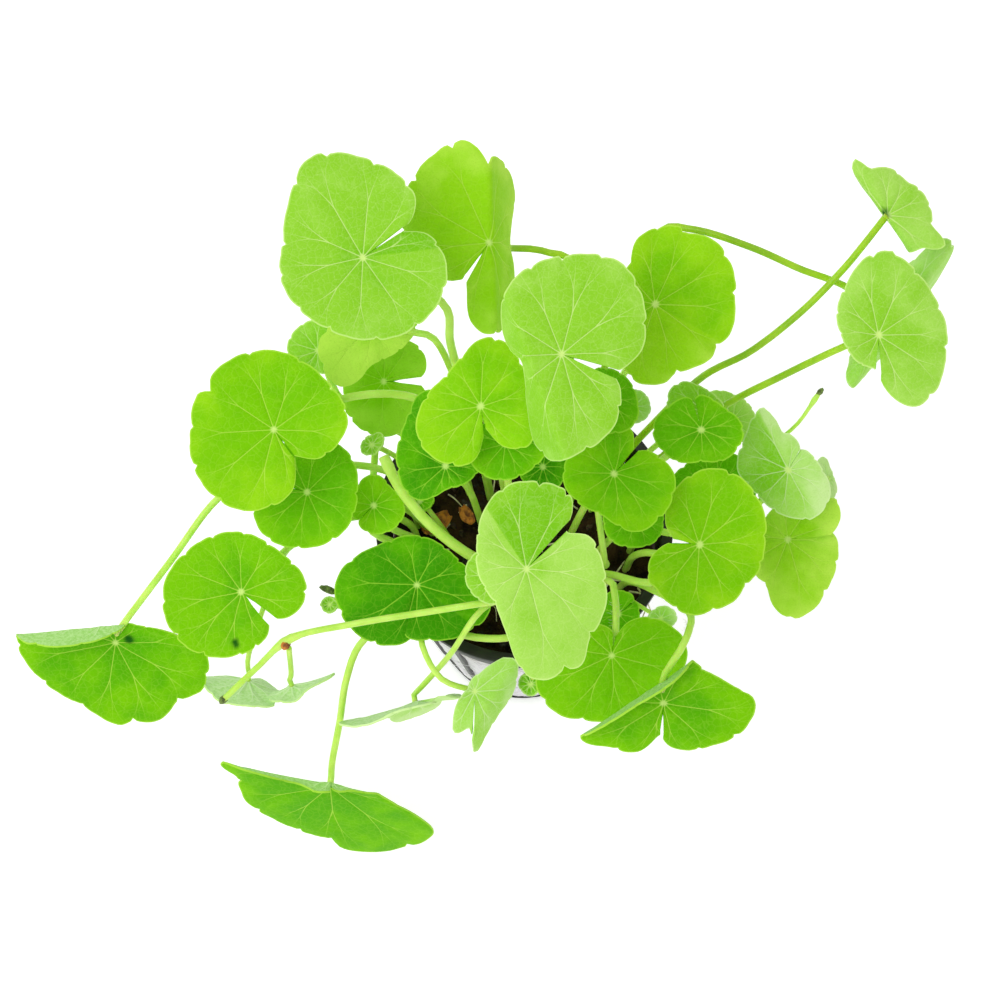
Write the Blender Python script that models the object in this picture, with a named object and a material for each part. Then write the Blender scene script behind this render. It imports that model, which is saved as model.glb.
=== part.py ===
"""Brazilian pennywort (Hydrocotyle leucocephala) growing in a black 5 cm net pot filled with rock wool.

The origin is the centre of the pot's flat base, +Z is up, +X is the right and +Y the back of the plant.
Lengths are typed in millimetres and turned into metres where a mesh is made.
"""

import math

import bmesh
import bpy
from mathutils import Vector

MM = 0.001

# Net pot
POT_HEIGHT = 48.0
LIP_RADIUS = 25.0
LIP_HEIGHT = 1.5
COLLAR_TOP_RADIUS = 23.3
COLLAR_LOW_RADIUS = 22.8
COLLAR_LOW_Z = 40.5
BASE_RADIUS = 15.2
BASE_RING_Z = 1.0
FLOOR_Z = 0.7
POT_WALL = 1.2
RIBS = 20
RIB_ANGLE = 2.8
FIRST_RIB = 276.0
WINDOW_STEPS = 1

# Rock wool
WOOL_LOW_Z = 1.1
WOOL_TOP_Z = 40.0
WOOL_GAP = 0.4
WOOL_SIDES = 24

# Leaves and stalks
BLADE = 0.5
LOBE_LIFT = 1.3
SLIT_START = 1.3
SLIT_SHARE = 0.36
SLIT_CORNER = 0.93
PITCH_AT_HUB = 0.4
COMPASS = (0, 45, 90, 135, 180, 225, 270, 315)
FOOT_Z = 40.6
STALK_SIDES = 4
STALK_STEPS = 3
STALK_STRAIGHT = 1.5
STALK_FLARE = 1.1
FOLD_ROUND = 0.8

# Where a stalk crosses the pot's rim and goes into the medium
RIM_CROSSING = 50.6
OVER_LIP = 25.5
INSIDE_LIP = 21.5
DOWN_INSIDE = 18.6
ROOTED_RADIUS = 17.6

for item in list(bpy.data.objects):
    bpy.data.objects.remove(item, do_unlink=True)


def material(name, colour, roughness):
    made = bpy.data.materials.new(name)
    made.use_nodes = True
    shader = made.node_tree.nodes["Principled BSDF"]
    shader.inputs["Base Color"].default_value = (*colour, 1.0)
    shader.inputs["Roughness"].default_value = roughness
    return made


LEAF_GREEN = material("leaf_green", (0.13, 0.52, 0.01), 0.5)
LEAF_LIGHT = material("leaf_light", (0.27, 0.68, 0.08), 0.5)
LEAF_DARK = material("leaf_dark", (0.06, 0.40, 0.0), 0.5)
LEAF_PALE = material("leaf_pale", (0.42, 0.70, 0.22), 0.55)
STEM_GREEN = material("stem_green", (0.50, 0.85, 0.20), 0.45)
POT_BLACK = material("pot_black", (0.012, 0.012, 0.012), 0.45)
WOOL_GREY = material("wool_grey", (0.55, 0.53, 0.50), 0.95)


def add_object(name, bm, look):
    """Turns the bmesh, typed in millimetres, into an object in metres."""
    bmesh.ops.scale(bm, vec=(MM, MM, MM), verts=bm.verts)
    bmesh.ops.recalc_face_normals(bm, faces=bm.faces)
    mesh = bpy.data.meshes.new(name)
    bm.to_mesh(mesh)
    bm.free()
    mesh.materials.append(look)
    mesh.shade_smooth()
    made = bpy.data.objects.new(name, mesh)
    bpy.context.collection.objects.link(made)
    return made


def smooth_path(points, count):
    """A curve through all the points, walked in equal steps of its length."""
    points = [Vector(p) for p in points]
    ends = [2 * points[0] - points[1], *points, 2 * points[-1] - points[-2]]
    fine = []
    for k in range(1, len(ends) - 2):
        a, b, c, d = ends[k - 1 : k + 3]
        for step in range(12):
            t = step / 12
            bend = (2 * a - 5 * b + 4 * c - d) * t * t
            twist = (3 * b - a - 3 * c + d) * t * t * t
            fine.append(0.5 * (2 * b + (c - a) * t + bend + twist))
    fine.append(points[-1])
    total = sum((q - p).length for p, q in zip(fine, fine[1:]))
    made = [fine[0]]
    walked = 0.0
    for p, q in zip(fine, fine[1:]):
        walked += (q - p).length
        if walked >= total * len(made) / count and len(made) < count:
            made.append(q)
    made.append(fine[-1])
    return made


def tube(points, radii, sides):
    """A closed round stalk along the points, thicker or thinner by its radii."""
    bm = bmesh.new()
    side = Vector((1.0, 0.0, 0.0))
    rings = []
    for k, centre in enumerate(points):
        before = points[max(k - 1, 0)]
        after = points[min(k + 1, len(points) - 1)]
        along = (after - before).normalized()
        side = (side - side.dot(along) * along).normalized()
        other = along.cross(side)
        share = k / (len(points) - 1)
        radius = radii[0] * (1 - share) + radii[1] * share
        ring = []
        for s in range(sides):
            turn = 2 * math.pi * s / sides
            outward = math.cos(turn) * side + math.sin(turn) * other
            ring.append(bm.verts.new(centre + radius * outward))
        rings.append(ring)
    for low, high in zip(rings, rings[1:]):
        for s in range(sides):
            t = (s + 1) % sides
            bm.faces.new((low[s], low[t], high[t], high[s]))
    bm.faces.new(rings[0][::-1])
    bm.faces.new(rings[-1])
    return bm


def rim_value(rim, angle, column):
    """The margin's reach (column 1) or pitch (column 2) at this angle, rounded between its marks."""
    count = len(rim)
    for k in range(count):
        low = rim[k][0]
        high = rim[(k + 1) % count][0]
        span = (high - low) % 360
        past = (angle - low) % 360
        if past <= span:
            break
    a, b, c, d = (rim[(k + j) % count] for j in (-1, 0, 1, 2))
    t = past / span
    low_slope = (c[column] - a[column]) / ((c[0] - a[0]) % 360) * span
    high_slope = (d[column] - b[column]) / ((d[0] - b[0]) % 360) * span
    start = (1 + 2 * t) * (1 - t) ** 2 * b[column] + t * (1 - t) ** 2 * low_slope
    return start + t * t * (3 - 2 * t) * c[column] + t * t * (t - 1) * high_slope


def blade_axes(lean):
    """Right, back and up directions of a leaf that leans by lean[0] degrees towards the heading lean[1]."""
    tilt, heading = (math.radians(v) for v in lean)
    level = math.sin(tilt)
    up = Vector((level * math.cos(heading), level * math.sin(heading), math.cos(tilt)))
    right = (Vector((1, 0, 0)) - up.x * up).normalized()
    return right, up.cross(right), up


def folded(x, y, z, folds):
    """Bends what lies to the left of each fold line down or up. A fold is (direction of the line, degrees,
    distance of the line from the hub)."""
    for line, degrees, away in folds:
        turn = math.radians(line)
        across = (-math.sin(turn), math.cos(turn))
        past = x * across[0] + y * across[1] - away
        if past <= 0:
            continue
        whole = abs(math.radians(degrees))
        bent = min(past / FOLD_ROUND, whole)
        straight = max(past - whole * FOLD_ROUND, 0.0)
        flat = FOLD_ROUND * math.sin(bent) + straight * math.cos(bent)
        rise = FOLD_ROUND * (1 - math.cos(bent)) + straight * math.sin(bent)
        x += (flat - past) * across[0]
        y += (flat - past) * across[1]
        z += math.copysign(rise, degrees)
    return x, y, z


def blade(hub, lean, rim, notch, gap, over, folds, columns):
    """One leaf blade as an open sheet: a fan from the hub, slit at the notch. Its inner ring has half the
    columns."""
    right, back, up = blade_axes(lean)
    bm = bmesh.new()

    def point(angle, reach, t, lift=0.0):
        turn = math.radians(angle)
        pitch = math.radians(rim_value(rim, angle, 2)) * (PITCH_AT_HUB + (1 - PITCH_AT_HUB) * t)
        flat = reach * t * math.cos(pitch)
        rise = reach * t * math.sin(pitch) + lift
        x, y, z = folded(flat * math.cos(turn), flat * math.sin(turn), rise, folds)
        return bm.verts.new(Vector(hub) + x * right + y * back + z * up)

    centre = bm.verts.new(hub)
    slit_end = point(notch, min(SLIT_START, SLIT_SHARE * rim_value(rim, notch, 1)), 1.0)
    rings = []
    for t, slit, step in ((0.5, max(gap, 4.0), 2), (1.0, gap, 1)):
        ring = []
        for k in range(0, columns + 1, step):
            angle = notch + slit / 2 + (360 - slit) * k / columns
            reach = rim_value(rim, angle, 1) * (SLIT_CORNER if k in (0, columns) else 1.0)
            near = max(0.0, 1 - k / 3) - max(0.0, 1 - (columns - k) / 3)
            lift = LOBE_LIFT * t * near * over if gap < 0 else 0.0
            ring.append(point(angle, reach, t, lift))
        rings.append(ring)
    inner, outer = rings
    bm.faces.new((centre, slit_end, inner[0]))
    bm.faces.new((centre, inner[-1], slit_end))
    for k in range(columns // 2):
        a, b = inner[k], inner[k + 1]
        bm.faces.new((centre, a, b))
        bm.faces.new((a, outer[2 * k], outer[2 * k + 1]))
        bm.faces.new((a, outer[2 * k + 1], b))
        bm.faces.new((b, outer[2 * k + 1], outer[2 * k + 2]))
    return bm


def leaf(name, hub, lean, reach, notch, via, foot, look,
         gap=4, over=1, folds=(), pitch=0, thick=0.65, columns=12):
    """A round blade on its own stalk. reach lists the margin's distance from the hub every 45 degrees,
    counterclockwise from the right, or marks of (angle, reach) or (angle, reach, pitch)."""
    if isinstance(reach[0], tuple):
        rim = [(*mark, pitch) if len(mark) == 2 else mark for mark in reach]
    else:
        pitches = pitch if isinstance(pitch, tuple) else (pitch,) * 8
        rim = list(zip(COMPASS, reach, pitches))
    sheet = add_object(name, blade(hub, lean, rim, notch, gap, over, folds, columns), look)
    solid = sheet.modifiers.new("thickness", "SOLIDIFY")
    solid.thickness = BLADE * MM
    solid.offset = 0.0
    up = blade_axes(lean)[2]
    top = Vector(hub)
    last = Vector(foot) if len(foot) == 3 else Vector((*foot, FOOT_Z))
    path = smooth_path([top + 0.1 * up, top - STALK_STRAIGHT * up, *via, last], STALK_STEPS + len(via))
    stalk = add_object(name + ".stalk", tube(path, (thick, thick * STALK_FLARE), STALK_SIDES), STEM_GREEN)
    stalk.hide_render = True
    stalk.display_type = "WIRE"
    join = sheet.modifiers.new("stalk", "BOOLEAN")
    join.operation = "UNION"
    join.solver = "EXACT"
    join.use_self = gap < 0
    join.object = stalk
    flat_faces = sheet.modifiers.new("triangles", "TRIANGULATE")
    flat_faces.ngon_method = "BEAUTY"
    flat_faces.quad_method = "BEAUTY"
    return sheet


def over_rim(angle, low=RIM_CROSSING):
    """Three points that carry a stalk over the pot's rim and down into it at this angle."""
    turn = math.radians(angle)
    steps = ((OVER_LIP, low), (INSIDE_LIP, low), (DOWN_INSIDE, low - 4))
    return [(r * math.cos(turn), r * math.sin(turn), z) for r, z in steps]


def inside_rim(angle):
    turn = math.radians(angle)
    return (ROOTED_RADIUS * math.cos(turn), ROOTED_RADIUS * math.sin(turn))


def stem(name, points, thick, look=STEM_GREEN, steps=8, sides=6):
    return add_object(name, tube(smooth_path(points, steps), thick, sides), look)


# Net pot: a wall of cells round the axis, solid in the collar, the ribs and the base ring
def net_pot():
    bm = bmesh.new()
    window = (360 / RIBS - RIB_ANGLE) / WINDOW_STEPS
    turns = []
    is_rib = []
    for rib in range(RIBS):
        start = FIRST_RIB - RIB_ANGLE / 2 + 360 / RIBS * rib
        turns += [start] + [start + RIB_ANGLE + window * k for k in range(WINDOW_STEPS)]
        is_rib += [True] + [False] * WINDOW_STEPS
    count = len(turns)

    def ring(radius, z):
        around = [math.radians(angle) for angle in turns]
        return [bm.verts.new((radius * math.cos(a), radius * math.sin(a), z)) for a in around]

    def band(low, high, only=None):
        for k in range(count):
            if only is None or is_rib[k] == only:
                j = (k + 1) % count
                bm.faces.new((low[k], low[j], high[j], high[k]))

    base_low = BASE_RADIUS + (COLLAR_LOW_RADIUS - BASE_RADIUS) * BASE_RING_Z / COLLAR_LOW_Z
    lip_z = POT_HEIGHT - LIP_HEIGHT
    out_base = ring(BASE_RADIUS, 0)
    out_ring = ring(base_low, BASE_RING_Z)
    out_low = ring(COLLAR_LOW_RADIUS, COLLAR_LOW_Z)
    out_neck = ring(COLLAR_TOP_RADIUS, lip_z)
    out_lip_low = ring(LIP_RADIUS, lip_z)
    out_lip = ring(LIP_RADIUS, POT_HEIGHT)
    in_floor = ring(BASE_RADIUS - POT_WALL, FLOOR_Z)
    in_ring = ring(base_low - POT_WALL, BASE_RING_Z)
    in_low = ring(COLLAR_LOW_RADIUS - POT_WALL, COLLAR_LOW_Z)
    in_top = ring(COLLAR_TOP_RADIUS - POT_WALL, POT_HEIGHT)

    band(out_base, out_ring)
    band(out_ring, out_low, True)
    band(out_low, out_neck)
    band(out_neck, out_lip_low)
    band(out_lip_low, out_lip)
    band(out_lip, in_top)
    band(in_top, in_low)
    band(in_low, in_ring, True)
    band(in_ring, in_floor)
    band(out_ring, in_ring, False)
    band(out_low, in_low, False)
    for k in range(count):
        if is_rib[k]:
            j = (k + 1) % count
            bm.faces.new((out_ring[k], out_low[k], in_low[k], in_ring[k]))
            bm.faces.new((out_ring[j], in_ring[j], in_low[j], out_low[j]))
    bm.faces.new(out_base)
    bm.faces.new(in_floor)
    return add_object("net_pot", bm, POT_BLACK)


def rock_wool():
    bm = bmesh.new()
    slope = (COLLAR_LOW_RADIUS - BASE_RADIUS) / COLLAR_LOW_Z
    facet = math.cos(math.radians((360 / RIBS - RIB_ANGLE) / WINDOW_STEPS / 2))
    rings = []
    for z, inset in ((WOOL_LOW_Z, 0.0), (WOOL_TOP_Z - 1.5, 0.0), (WOOL_TOP_Z, 1.5)):
        radius = (BASE_RADIUS + slope * z - POT_WALL) * facet - WOOL_GAP - inset
        turns = [2 * math.pi * s / WOOL_SIDES for s in range(WOOL_SIDES)]
        rings.append([bm.verts.new((radius * math.cos(a), radius * math.sin(a), z)) for a in turns])
    for low, high in zip(rings, rings[1:]):
        for s in range(WOOL_SIDES):
            t = (s + 1) % WOOL_SIDES
            bm.faces.new((low[s], low[t], high[t], high[s]))
    bm.faces.new(rings[0])
    bm.faces.new(rings[-1])
    return add_object("rock_wool", bm, WOOL_GREY)


net_pot()
rock_wool()

# Tall leaves at the top of the clump
leaf("leaf_01_tall_left", (-24.5, 22.2, 100), (20, 268),
     ((0, 12.3), (18, 10.6), (32, 8.3), (38, 10.4), (51, 12.3), (90, 15), (113, 16.8), (123, 16.5),
      (142, 14), (169, 12.3), (196, 12.7), (243, 12.1), (307, 13.2), (340, 13.3)), 35,
     [(-12.9, 19.2, 91), (-11.6, 16.2, 82), (-9.1, 12.5, 66), (-6.8, 9, 52)], (-5.5, 7.5), LEAF_LIGHT,
     gap=3, pitch=4, thick=0.75, columns=16)
leaf("leaf_02_tall_middle", (-5.7, 29.8, 90), (24, 275),
     ((0, 7.3), (24, 8.8), (40, 12.6), (55, 13.8), (85, 13.4), (91, 12.5), (98, 15), (106, 16.3),
      (125, 15.9), (140, 15.4), (180, 13), (225, 8.5), (245, 8.5), (257, 12.4), (273, 14.2),
      (335, 9.6)), 237,
     [(-3.6, 33, 81.5), (-1.9, 34.9, 78), (3.2, 34.8, 77), (8, 33, 73.5), (7, 20, 60)], (4.5, 13),
     LEAF_GREEN, gap=7, folds=((272, -65, 0),), columns=16)
leaf("leaf_03_top_centre", (4.9, 3.6, 106), (22, 272),
     ((5, 11.9), (27, 13.7), (57, 15.8), (85, 14.5), (120, 13.1), (132, 12.2), (160, 12.2),
      (180, 11.3), (189, 7.8), (208, 8.4), (223, 11.8), (240, 17.5), (274, 15.2), (307, 12.9),
      (328, 10.5), (350, 10.2)), 340,
     [(4.5, 8, 90), (2.5, 10.5, 72), (0.5, 7, 52)], (0.5, 5), LEAF_LIGHT,
     gap=9, folds=((110, -70, 4),), thick=0.75, columns=18)
leaf("leaf_04_top_right", (19.4, 17.4, 94), (19, 265),
     ((0, 12.1, 3), (30, 13), (47, 13.1, 5), (65, 12), (73, 12.4), (90, 11.7, -4), (105, 10.3),
      (124, 7.1), (180, 7.5, -5), (225, 8.5, 4), (254, 12), (276, 12, -3), (288, 11), (315, 11.8, 5),
      (326, 11.4), (340, 12.2)), 190, [(16, 14.5, 78), (10, 10.5, 60)], (8, 8), LEAF_GREEN, columns=14)
leaf("leaf_05_far_right_folded", (55.6, 33.5, 92), (20, 285),
     ((0, 6.9), (45, 6.4), (60, 6.1), (85, 7.2), (114, 8), (121, 10), (138, 7.5), (180, 6.5),
      (270, 6.5), (314, 7.2), (332, 10), (345, 7.3)), 225,
     [(52, 29.9, 89), (48.6, 26.3, 87), (42.7, 21.4, 83), (35.2, 17, 78), (27.7, 15.1, 72), (20, 13, 56),
      (16.3, 11.3, 48)], (14.8, 10.2), LEAF_LIGHT, gap=6, folds=((126, -105, -0.6),), columns=14)
leaf("leaf_06_far_right", (53.7, 15.1, 88), (24, 262),
     ((5, 10.4), (40, 10.4), (74, 12.2), (80, 12.9), (97, 12.2), (122, 9.2), (157, 6.9), (186, 5.5),
      (237, 5.2), (262, 5.5), (277, 8.8), (297, 12.3), (316, 12.2), (337, 11)), 270,
     [(49.1, 15.1, 84), (39.8, 13.1, 77), (30.8, 10.7, 70), (22, 8, 56)], (14, 5), LEAF_LIGHT,
     gap=8, columns=14)
leaf("leaf_07_far_right_back", (57.4, 21.5, 80), (22, 270),
     ((2, 11), (53, 15.3), (82, 10.5), (130, 9), (180, 8), (220, 9.5), (238, 12.5), (264, 9), (315, 8)), 150,
     [(49.9, 26.2, 82), (42.8, 28.2, 84), (35, 31, 86), (26.1, 34.1, 86), (20.5, 35, 82), (15.3, 28, 66)],
     (9, 14), LEAF_PALE, folds=((55, -66, 0.5), (235, -76, 0.2)))

# Left side
leaf("leaf_08_left_big", (-38.7, 2.8, 80), (23, 268),
     ((0, 11.2), (12, 11.7), (45, 11.1), (90, 12.2), (112, 12.6), (140, 12.6), (148, 11.8),
      (155, 12.9), (180, 12.9), (208, 13.7), (243, 13.6), (268, 11.9), (286, 9.9), (300, 6.8),
      (313, 6), (330, 8.5)), 307,
     [(-27.9, 10.8, 74), (-17.3, 12, 71), (-11.5, 10, 60)], (-9, 8.5), LEAF_GREEN,
     gap=5, pitch=3, thick=0.75, columns=16)
leaf("leaf_09_left_under", (-34.3, -2.3, 67), (20, 275), (8, 9, 8.5, 8.5, 8.5, 9.6, 8.8, 8.5), 165,
     [(-30, -1.2, 60.5), (-24, 0.6, 57.5), (-18.8, 1.2, 50)], (-14.9, 1), LEAF_DARK, gap=3, pitch=3)
leaf("leaf_10_lower_left", (-45, -15.7, 58), (24, 260), (10.5, 9, 9.5, 10.5, 12.5, 12.5, 10, 8), 317,
     [(-41.4, -11.4, 56.5), (-38, -7.4, 55.5), (-33.5, -3.6, 54.5), (-28.5, -1.2, 53), *over_rim(180)],
     inside_rim(180), LEAF_GREEN, gap=15, pitch=2, columns=14)
leaf("leaf_11_far_left", (-66.5, -19.5, 44), (47, 270),
     ((8, 10.2), (28, 6.4), (48, 4.6), (90, 6), (120, 9), (150, 13), (165, 15.5), (179, 16.1),
      (208, 14.7), (242, 13.2), (270, 15.4), (279, 14.9), (292, 15.8), (312, 14.7), (326, 16.3),
      (342, 15.7), (353, 14.5)), 62,
     [(-65.5, -17.6, 46), (-56.7, -9.3, 55), (-49.4, -1, 60), (-42.3, 3.4, 61), (-29.8, 5.2, 60),
      (-23, 5.4, 57.5), (-18.4, 5.7, 50)], inside_rim(162), LEAF_GREEN, folds=((5.5, 98, 2.6),), columns=14)
leaf("leaf_12_hanging_front", (-32.1, -39.1, 28), (74, 265),
     ((0, 7), (17, 4.5), (60, 4), (110, 4.2), (140, 5.5), (155, 11), (163, 16.5), (169, 18.4), (180, 15.8),
      (209, 16), (228, 15.6), (252, 16), (268, 17), (273, 19.6), (284, 21.6), (302, 22.6),
      (317, 22.2), (325, 20.6), (332, 16.5), (342, 11)), 78,
     [(-31.6, -35.4, 31), (-30.2, -30.8, 37), (-28.8, -25.8, 44.5), (-26, -21.4, 50.5), *over_rim(221)],
     inside_rim(221), LEAF_GREEN, folds=((349, 65, 0.4),), columns=16)
leaf("leaf_13_left_small", (-24.1, -2.2, 61), (17, 280), (5, 4, 5, 4, 3.5, 4, 4.5, 5), 225,
     [(-22, -3.4, 55), (-17, -3.5, 48.5)], (-13, -3), LEAF_DARK, columns=10)
leaf("leaf_14_left_rim", (-17.2, -14.2, 57), (14, 275),
     ((0, 11), (20, 8.5), (45, 7.5), (90, 8), (135, 9), (180, 13), (225, 12), (270, 9), (315, 11),
      (339, 12.3)), 262,
     [(-14, -11, 49)], (-11, -8.5), LEAF_DARK, gap=-10, columns=14)

# Middle of the clump
leaf("leaf_15_centre_pale", (-0.2, -25.9, 96), (24, 270),
     ((4, 11.1), (26, 10.4), (40, 8.8), (51, 11.5), (60, 12.7), (92, 12.7), (107, 12.2), (134, 9.7),
      (160, 7.7), (224, 6.6), (243, 8.1), (256, 10.5), (267, 14.7), (278, 16.3), (292, 15.8),
      (300, 16.1), (310, 14), (333, 12.8)), 46,
     [(1.5, -22.5, 80), (2.2, -16, 60)], (1.6, -10.5), LEAF_LIGHT, gap=6, thick=0.75, columns=18)
leaf("leaf_16_heart", (-6.9, 1.5, 92), (18, 264),
     ((0, 7.8), (45, 8.8), (74, 10.5), (90, 10.1), (110, 8), (140, 7), (172, 8.5), (200, 10.3),
      (216, 10.7), (250, 9.6), (266, 7.7), (273, 5.3), (287, 4), (300, 6.9), (322, 9.4)), 279,
     [(-7.4, 5.1, 84), (-5.3, 5.5, 72), (-3.5, 4, 55)], (-2.5, 2.5), LEAF_GREEN, gap=10, columns=16)
leaf("leaf_17_star", (13.3, -5.3, 82), (20, 280),
     ((6, 8.7), (34, 6.4), (56, 5.6), (67, 7), (90, 7.6), (140, 7.3), (190, 7.9), (214, 7.3),
      (255, 6.6), (290, 9.5), (304, 9.8), (353, 9.5)), 47,
     [(10, -2.5, 64)], (6.5, -1.5), LEAF_DARK, gap=10, pitch=3, columns=14)
leaf("leaf_18_centre_right", (26.6, -13.8, 74), (23, 270),
     ((0, 10.1), (25, 11), (66, 12.2), (90, 11.4), (113, 9.4), (146, 6.3), (165, 4.7), (181, 6),
      (197, 8), (216, 9.6), (225, 9.5), (262, 10.9), (283, 10.3), (300, 10.2), (319, 9.5), (337, 10)),
      172,
     [(24.2, -15.2, 67), (19.6, -14.7, 59.5), (14, -10.8, 52.5), (11.3, -8.4, 46)], (10.5, -7.5), LEAF_GREEN,
     gap=10, columns=16)
leaf("leaf_19_front_right", (13.7, -25, 54), (22, 278),
     ((6, 12.1), (30, 10.2), (48, 8.2), (63, 5.8), (72, 3.8), (92, 4.3), (108, 5.1), (135, 7),
      (160, 8.2), (200, 12.8), (225, 12.7), (250, 11), (290, 10.3), (315, 10)), 82,
     [(14.2, -22.3, 53.6), (14.4, -19.6, 55.2), (14.2, -17, 58.5), (13.2, -13.5, 57)], (7.5, -8.5),
     LEAF_GREEN, gap=10, columns=14)
leaf("leaf_20_front_folded", (21.5, -34.2, 58), (42, 262),
     ((5, 14.2), (18, 11.1), (45, 8.5), (90, 9.5), (120, 9), (150, 9.5), (180, 11.5), (208, 14.5),
      (222, 11.7), (245, 9.4), (260, 6.6), (276, 7.6), (298, 9), (320, 10.4), (340, 13)), 268,
     [(21.3, -31.4, 62), (22.6, -29.7, 65), (24.5, -27, 67.5), (25.4, -21.6, 65), (20.8, -14.5, 55),
      (17, -10.5, 48.5)], (15, -9), LEAF_GREEN, gap=6, folds=((38, 82, 2.4),), columns=16)

# Right side
leaf("leaf_21_right_outer", (41.7, -7.6, 60), (24, 255),
     ((8, 7.9, 6), (28, 9.5, 10), (41, 10.3, 14), (55, 8, 12), (90, 6.5, 10), (135, 5, 4), (180, 5.5),
      (229, 7.6), (247, 8.3), (257, 10.6), (272, 12.6, 4), (289, 11.9, 4), (312, 9.8, 4),
      (345, 8.3, 5)), 9,
     [(33, -7.8, 55.2), *over_rim(343)], inside_rim(343), LEAF_GREEN, gap=3, columns=14)
leaf("leaf_22_right_crumpled", (41.1, 0.2, 70), (26, 250),
     ((0, 5.4), (39, 4.3), (62, 4.3), (90, 5.8, 5), (100, 6.4, 5), (107, 9.4, 8), (113, 10.8, 8),
      (140, 8.7), (181, 7.9), (203, 6.7), (230, 6.3), (277, 7.6), (295, 8.5), (326, 7.8)), 60,
     [(36, -2.8, 61), (29, -3.4, 53.5), *over_rim(353)], inside_rim(353), LEAF_PALE, gap=2, columns=14)
leaf("leaf_23_right_notched", (26.9, 2.8, 80), (18, 285), (6.5, 5, 5.5, 6, 7.5, 6.5, 5, 6), 105,
     [(19, 2.5, 62)], (12.5, 1.8), LEAF_DARK, gap=8)
leaf("leaf_24_right_back", (33.7, 13.3, 60), (18, 270), (3.6, 3.5, 4, 5.8, 4.5, 4, 4, 4), 250,
     [*over_rim(25)], inside_rim(25), LEAF_LIGHT, columns=8)
leaf("leaf_25_right_dark", (30.2, -0.5, 64), (20, 270), (6.5, 6.4, 5.9, 6, 7.4, 6, 5, 6), 285,
     [(24, 0.3, 54), (17.5, 0, 48.5)], (14.2, 0), LEAF_DARK)

# Behind and under the tall left leaf
leaf("leaf_26_left_notched", (-22.8, 19, 62), (20, 270), (7, 8, 6.5, 7.5, 6.5, 8, 9, 8), 0,
     [(-23.9, 12, 59), (-24.4, 6.5, 56), (-25, -2.5, 52.5), (-21.7, -4.4, 50.8), (-18.6, -5.2, 47)],
     inside_rim(197), LEAF_DARK, gap=12)
leaf("leaf_27_left_folded", (-24.1, 23.2, 74), (21, 280),
     ((0, 7, 5), (45, 7, 5), (90, 7, 5), (135, 7, 5), (180, 7, 8), (197, 9, 8), (211, 10, 8),
      (240, 11), (256, 9, 4), (266, 6.5, 6), (293, 5.5, 6), (329, 6, 5)), 60,
     [(-17.5, 21.4, 75.5), (-13.9, 20.1, 74.5), (-10.5, 17, 62)], (-6.5, 12.5), LEAF_GREEN)
leaf("leaf_28_left_back_small", (-33.3, 22.6, 66), (25, 250), (5, 5, 5, 5, 5, 3.5, 3.5, 5), 320,
     [(-29.5, 17.5, 57), *over_rim(144)], inside_rim(144), LEAF_LIGHT, columns=8)
leaf("leaf_29_under_heart", (-12.4, -2, 77), (20, 270),
     ((0, 5.5), (45, 8), (90, 11.5), (108, 12), (135, 9), (180, 7.5), (225, 7), (270, 3.7), (315, 4)), 20,
     [(-9, 1, 60)], (-6.5, 1.2), LEAF_DARK)
leaf("leaf_30_under_top_centre", (-3.2, -1.9, 85.5), (20, 270), (6.5, 6, 5, 4.5, 5.8, 5.9, 5.5, 5.5), 100,
     [(-2.6, -2.4, 65)], (-2.4, -1.5), LEAF_DARK, columns=8)
leaf("leaf_31_inner_small", (2.8, 2.4, 66), (16, 300), (4, 4, 4, 4, 4, 4, 4, 4), 60,
     [(2.8, 2, 52)], (2.8, 1.5), LEAF_DARK, columns=10)
leaf("leaf_32_beside_top_centre", (12, 4.7, 88), (20, 265), (4.7, 4.3, 4.5, 5, 5, 5, 5.5, 6), 120,
     [(9.5, 5.5, 68)], (7, 4), LEAF_DARK, columns=8)
leaf("leaf_33_inner_pale", (16.6, 7.6, 78), (22, 250), (2.7, 2.7, 2.6, 2.5, 2.5, 2.6, 2.7, 2.8), 200,
     [(14, 7, 60)], (11, 5), LEAF_PALE, columns=8, thick=0.5)
leaf("leaf_34_low_centre", (16.8, -6.7, 68), (20, 270), (4.8, 4.8, 5, 5, 4.7, 5.2, 5, 5.3), 60,
     [(13.5, -5.5, 54)], (10, -4.3), LEAF_DARK, columns=10)
leaf("leaf_35_yellow_green", (-5, -17.2, 68), (24, 240), (4, 4, 4.5, 5, 4.5, 4, 4, 4), 70,
     [(-4.8, -14.5, 55)], (-4.8, -9.5), LEAF_LIGHT, columns=10, thick=0.55)

# Young and narrow leaves in front and at the stems
leaf("leaf_36_young_folded", (-8, -29.7, 50), (24, 272),
     ((18, 7.6), (44, 8.1), (60, 5.1), (75, 3), (135, 1.4), (180, 1.6), (208, 3.1), (226, 4.7),
      (244, 7.4), (262, 6.4), (274, 11.2), (289, 8.3), (317, 6.5), (343, 7)), 268,
     [(-13.2, -28.6, 53), (-16.2, -24, 55), (-16.3, -18.8, 53), (-13.3, -15.4, 48)], (-11.6, -13.9),
     LEAF_PALE, gap=3, folds=((237, -50, 2.8),), thick=0.55, columns=14)
leaf("leaf_37_narrow", (-17.7, -28.8, 40.5), (93, 285),
     ((0, 7.5, 5), (45, 8, 15), (90, 8, 19), (135, 8.5, 17), (168, 11, 8), (186, 12.8), (200, 9.5),
      (225, 7), (250, 9), (270, 8), (300, 6.5), (330, 6)), 60,
     [(-16.4, -27, 45), (-11.8, -24.3, 53), (-8.2, -21, 60), (-5.5, -18.5, 60.5),
      (-3.8, -15.3, 52)], (-3.6, -12.3), LEAF_PALE, thick=0.55)
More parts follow.
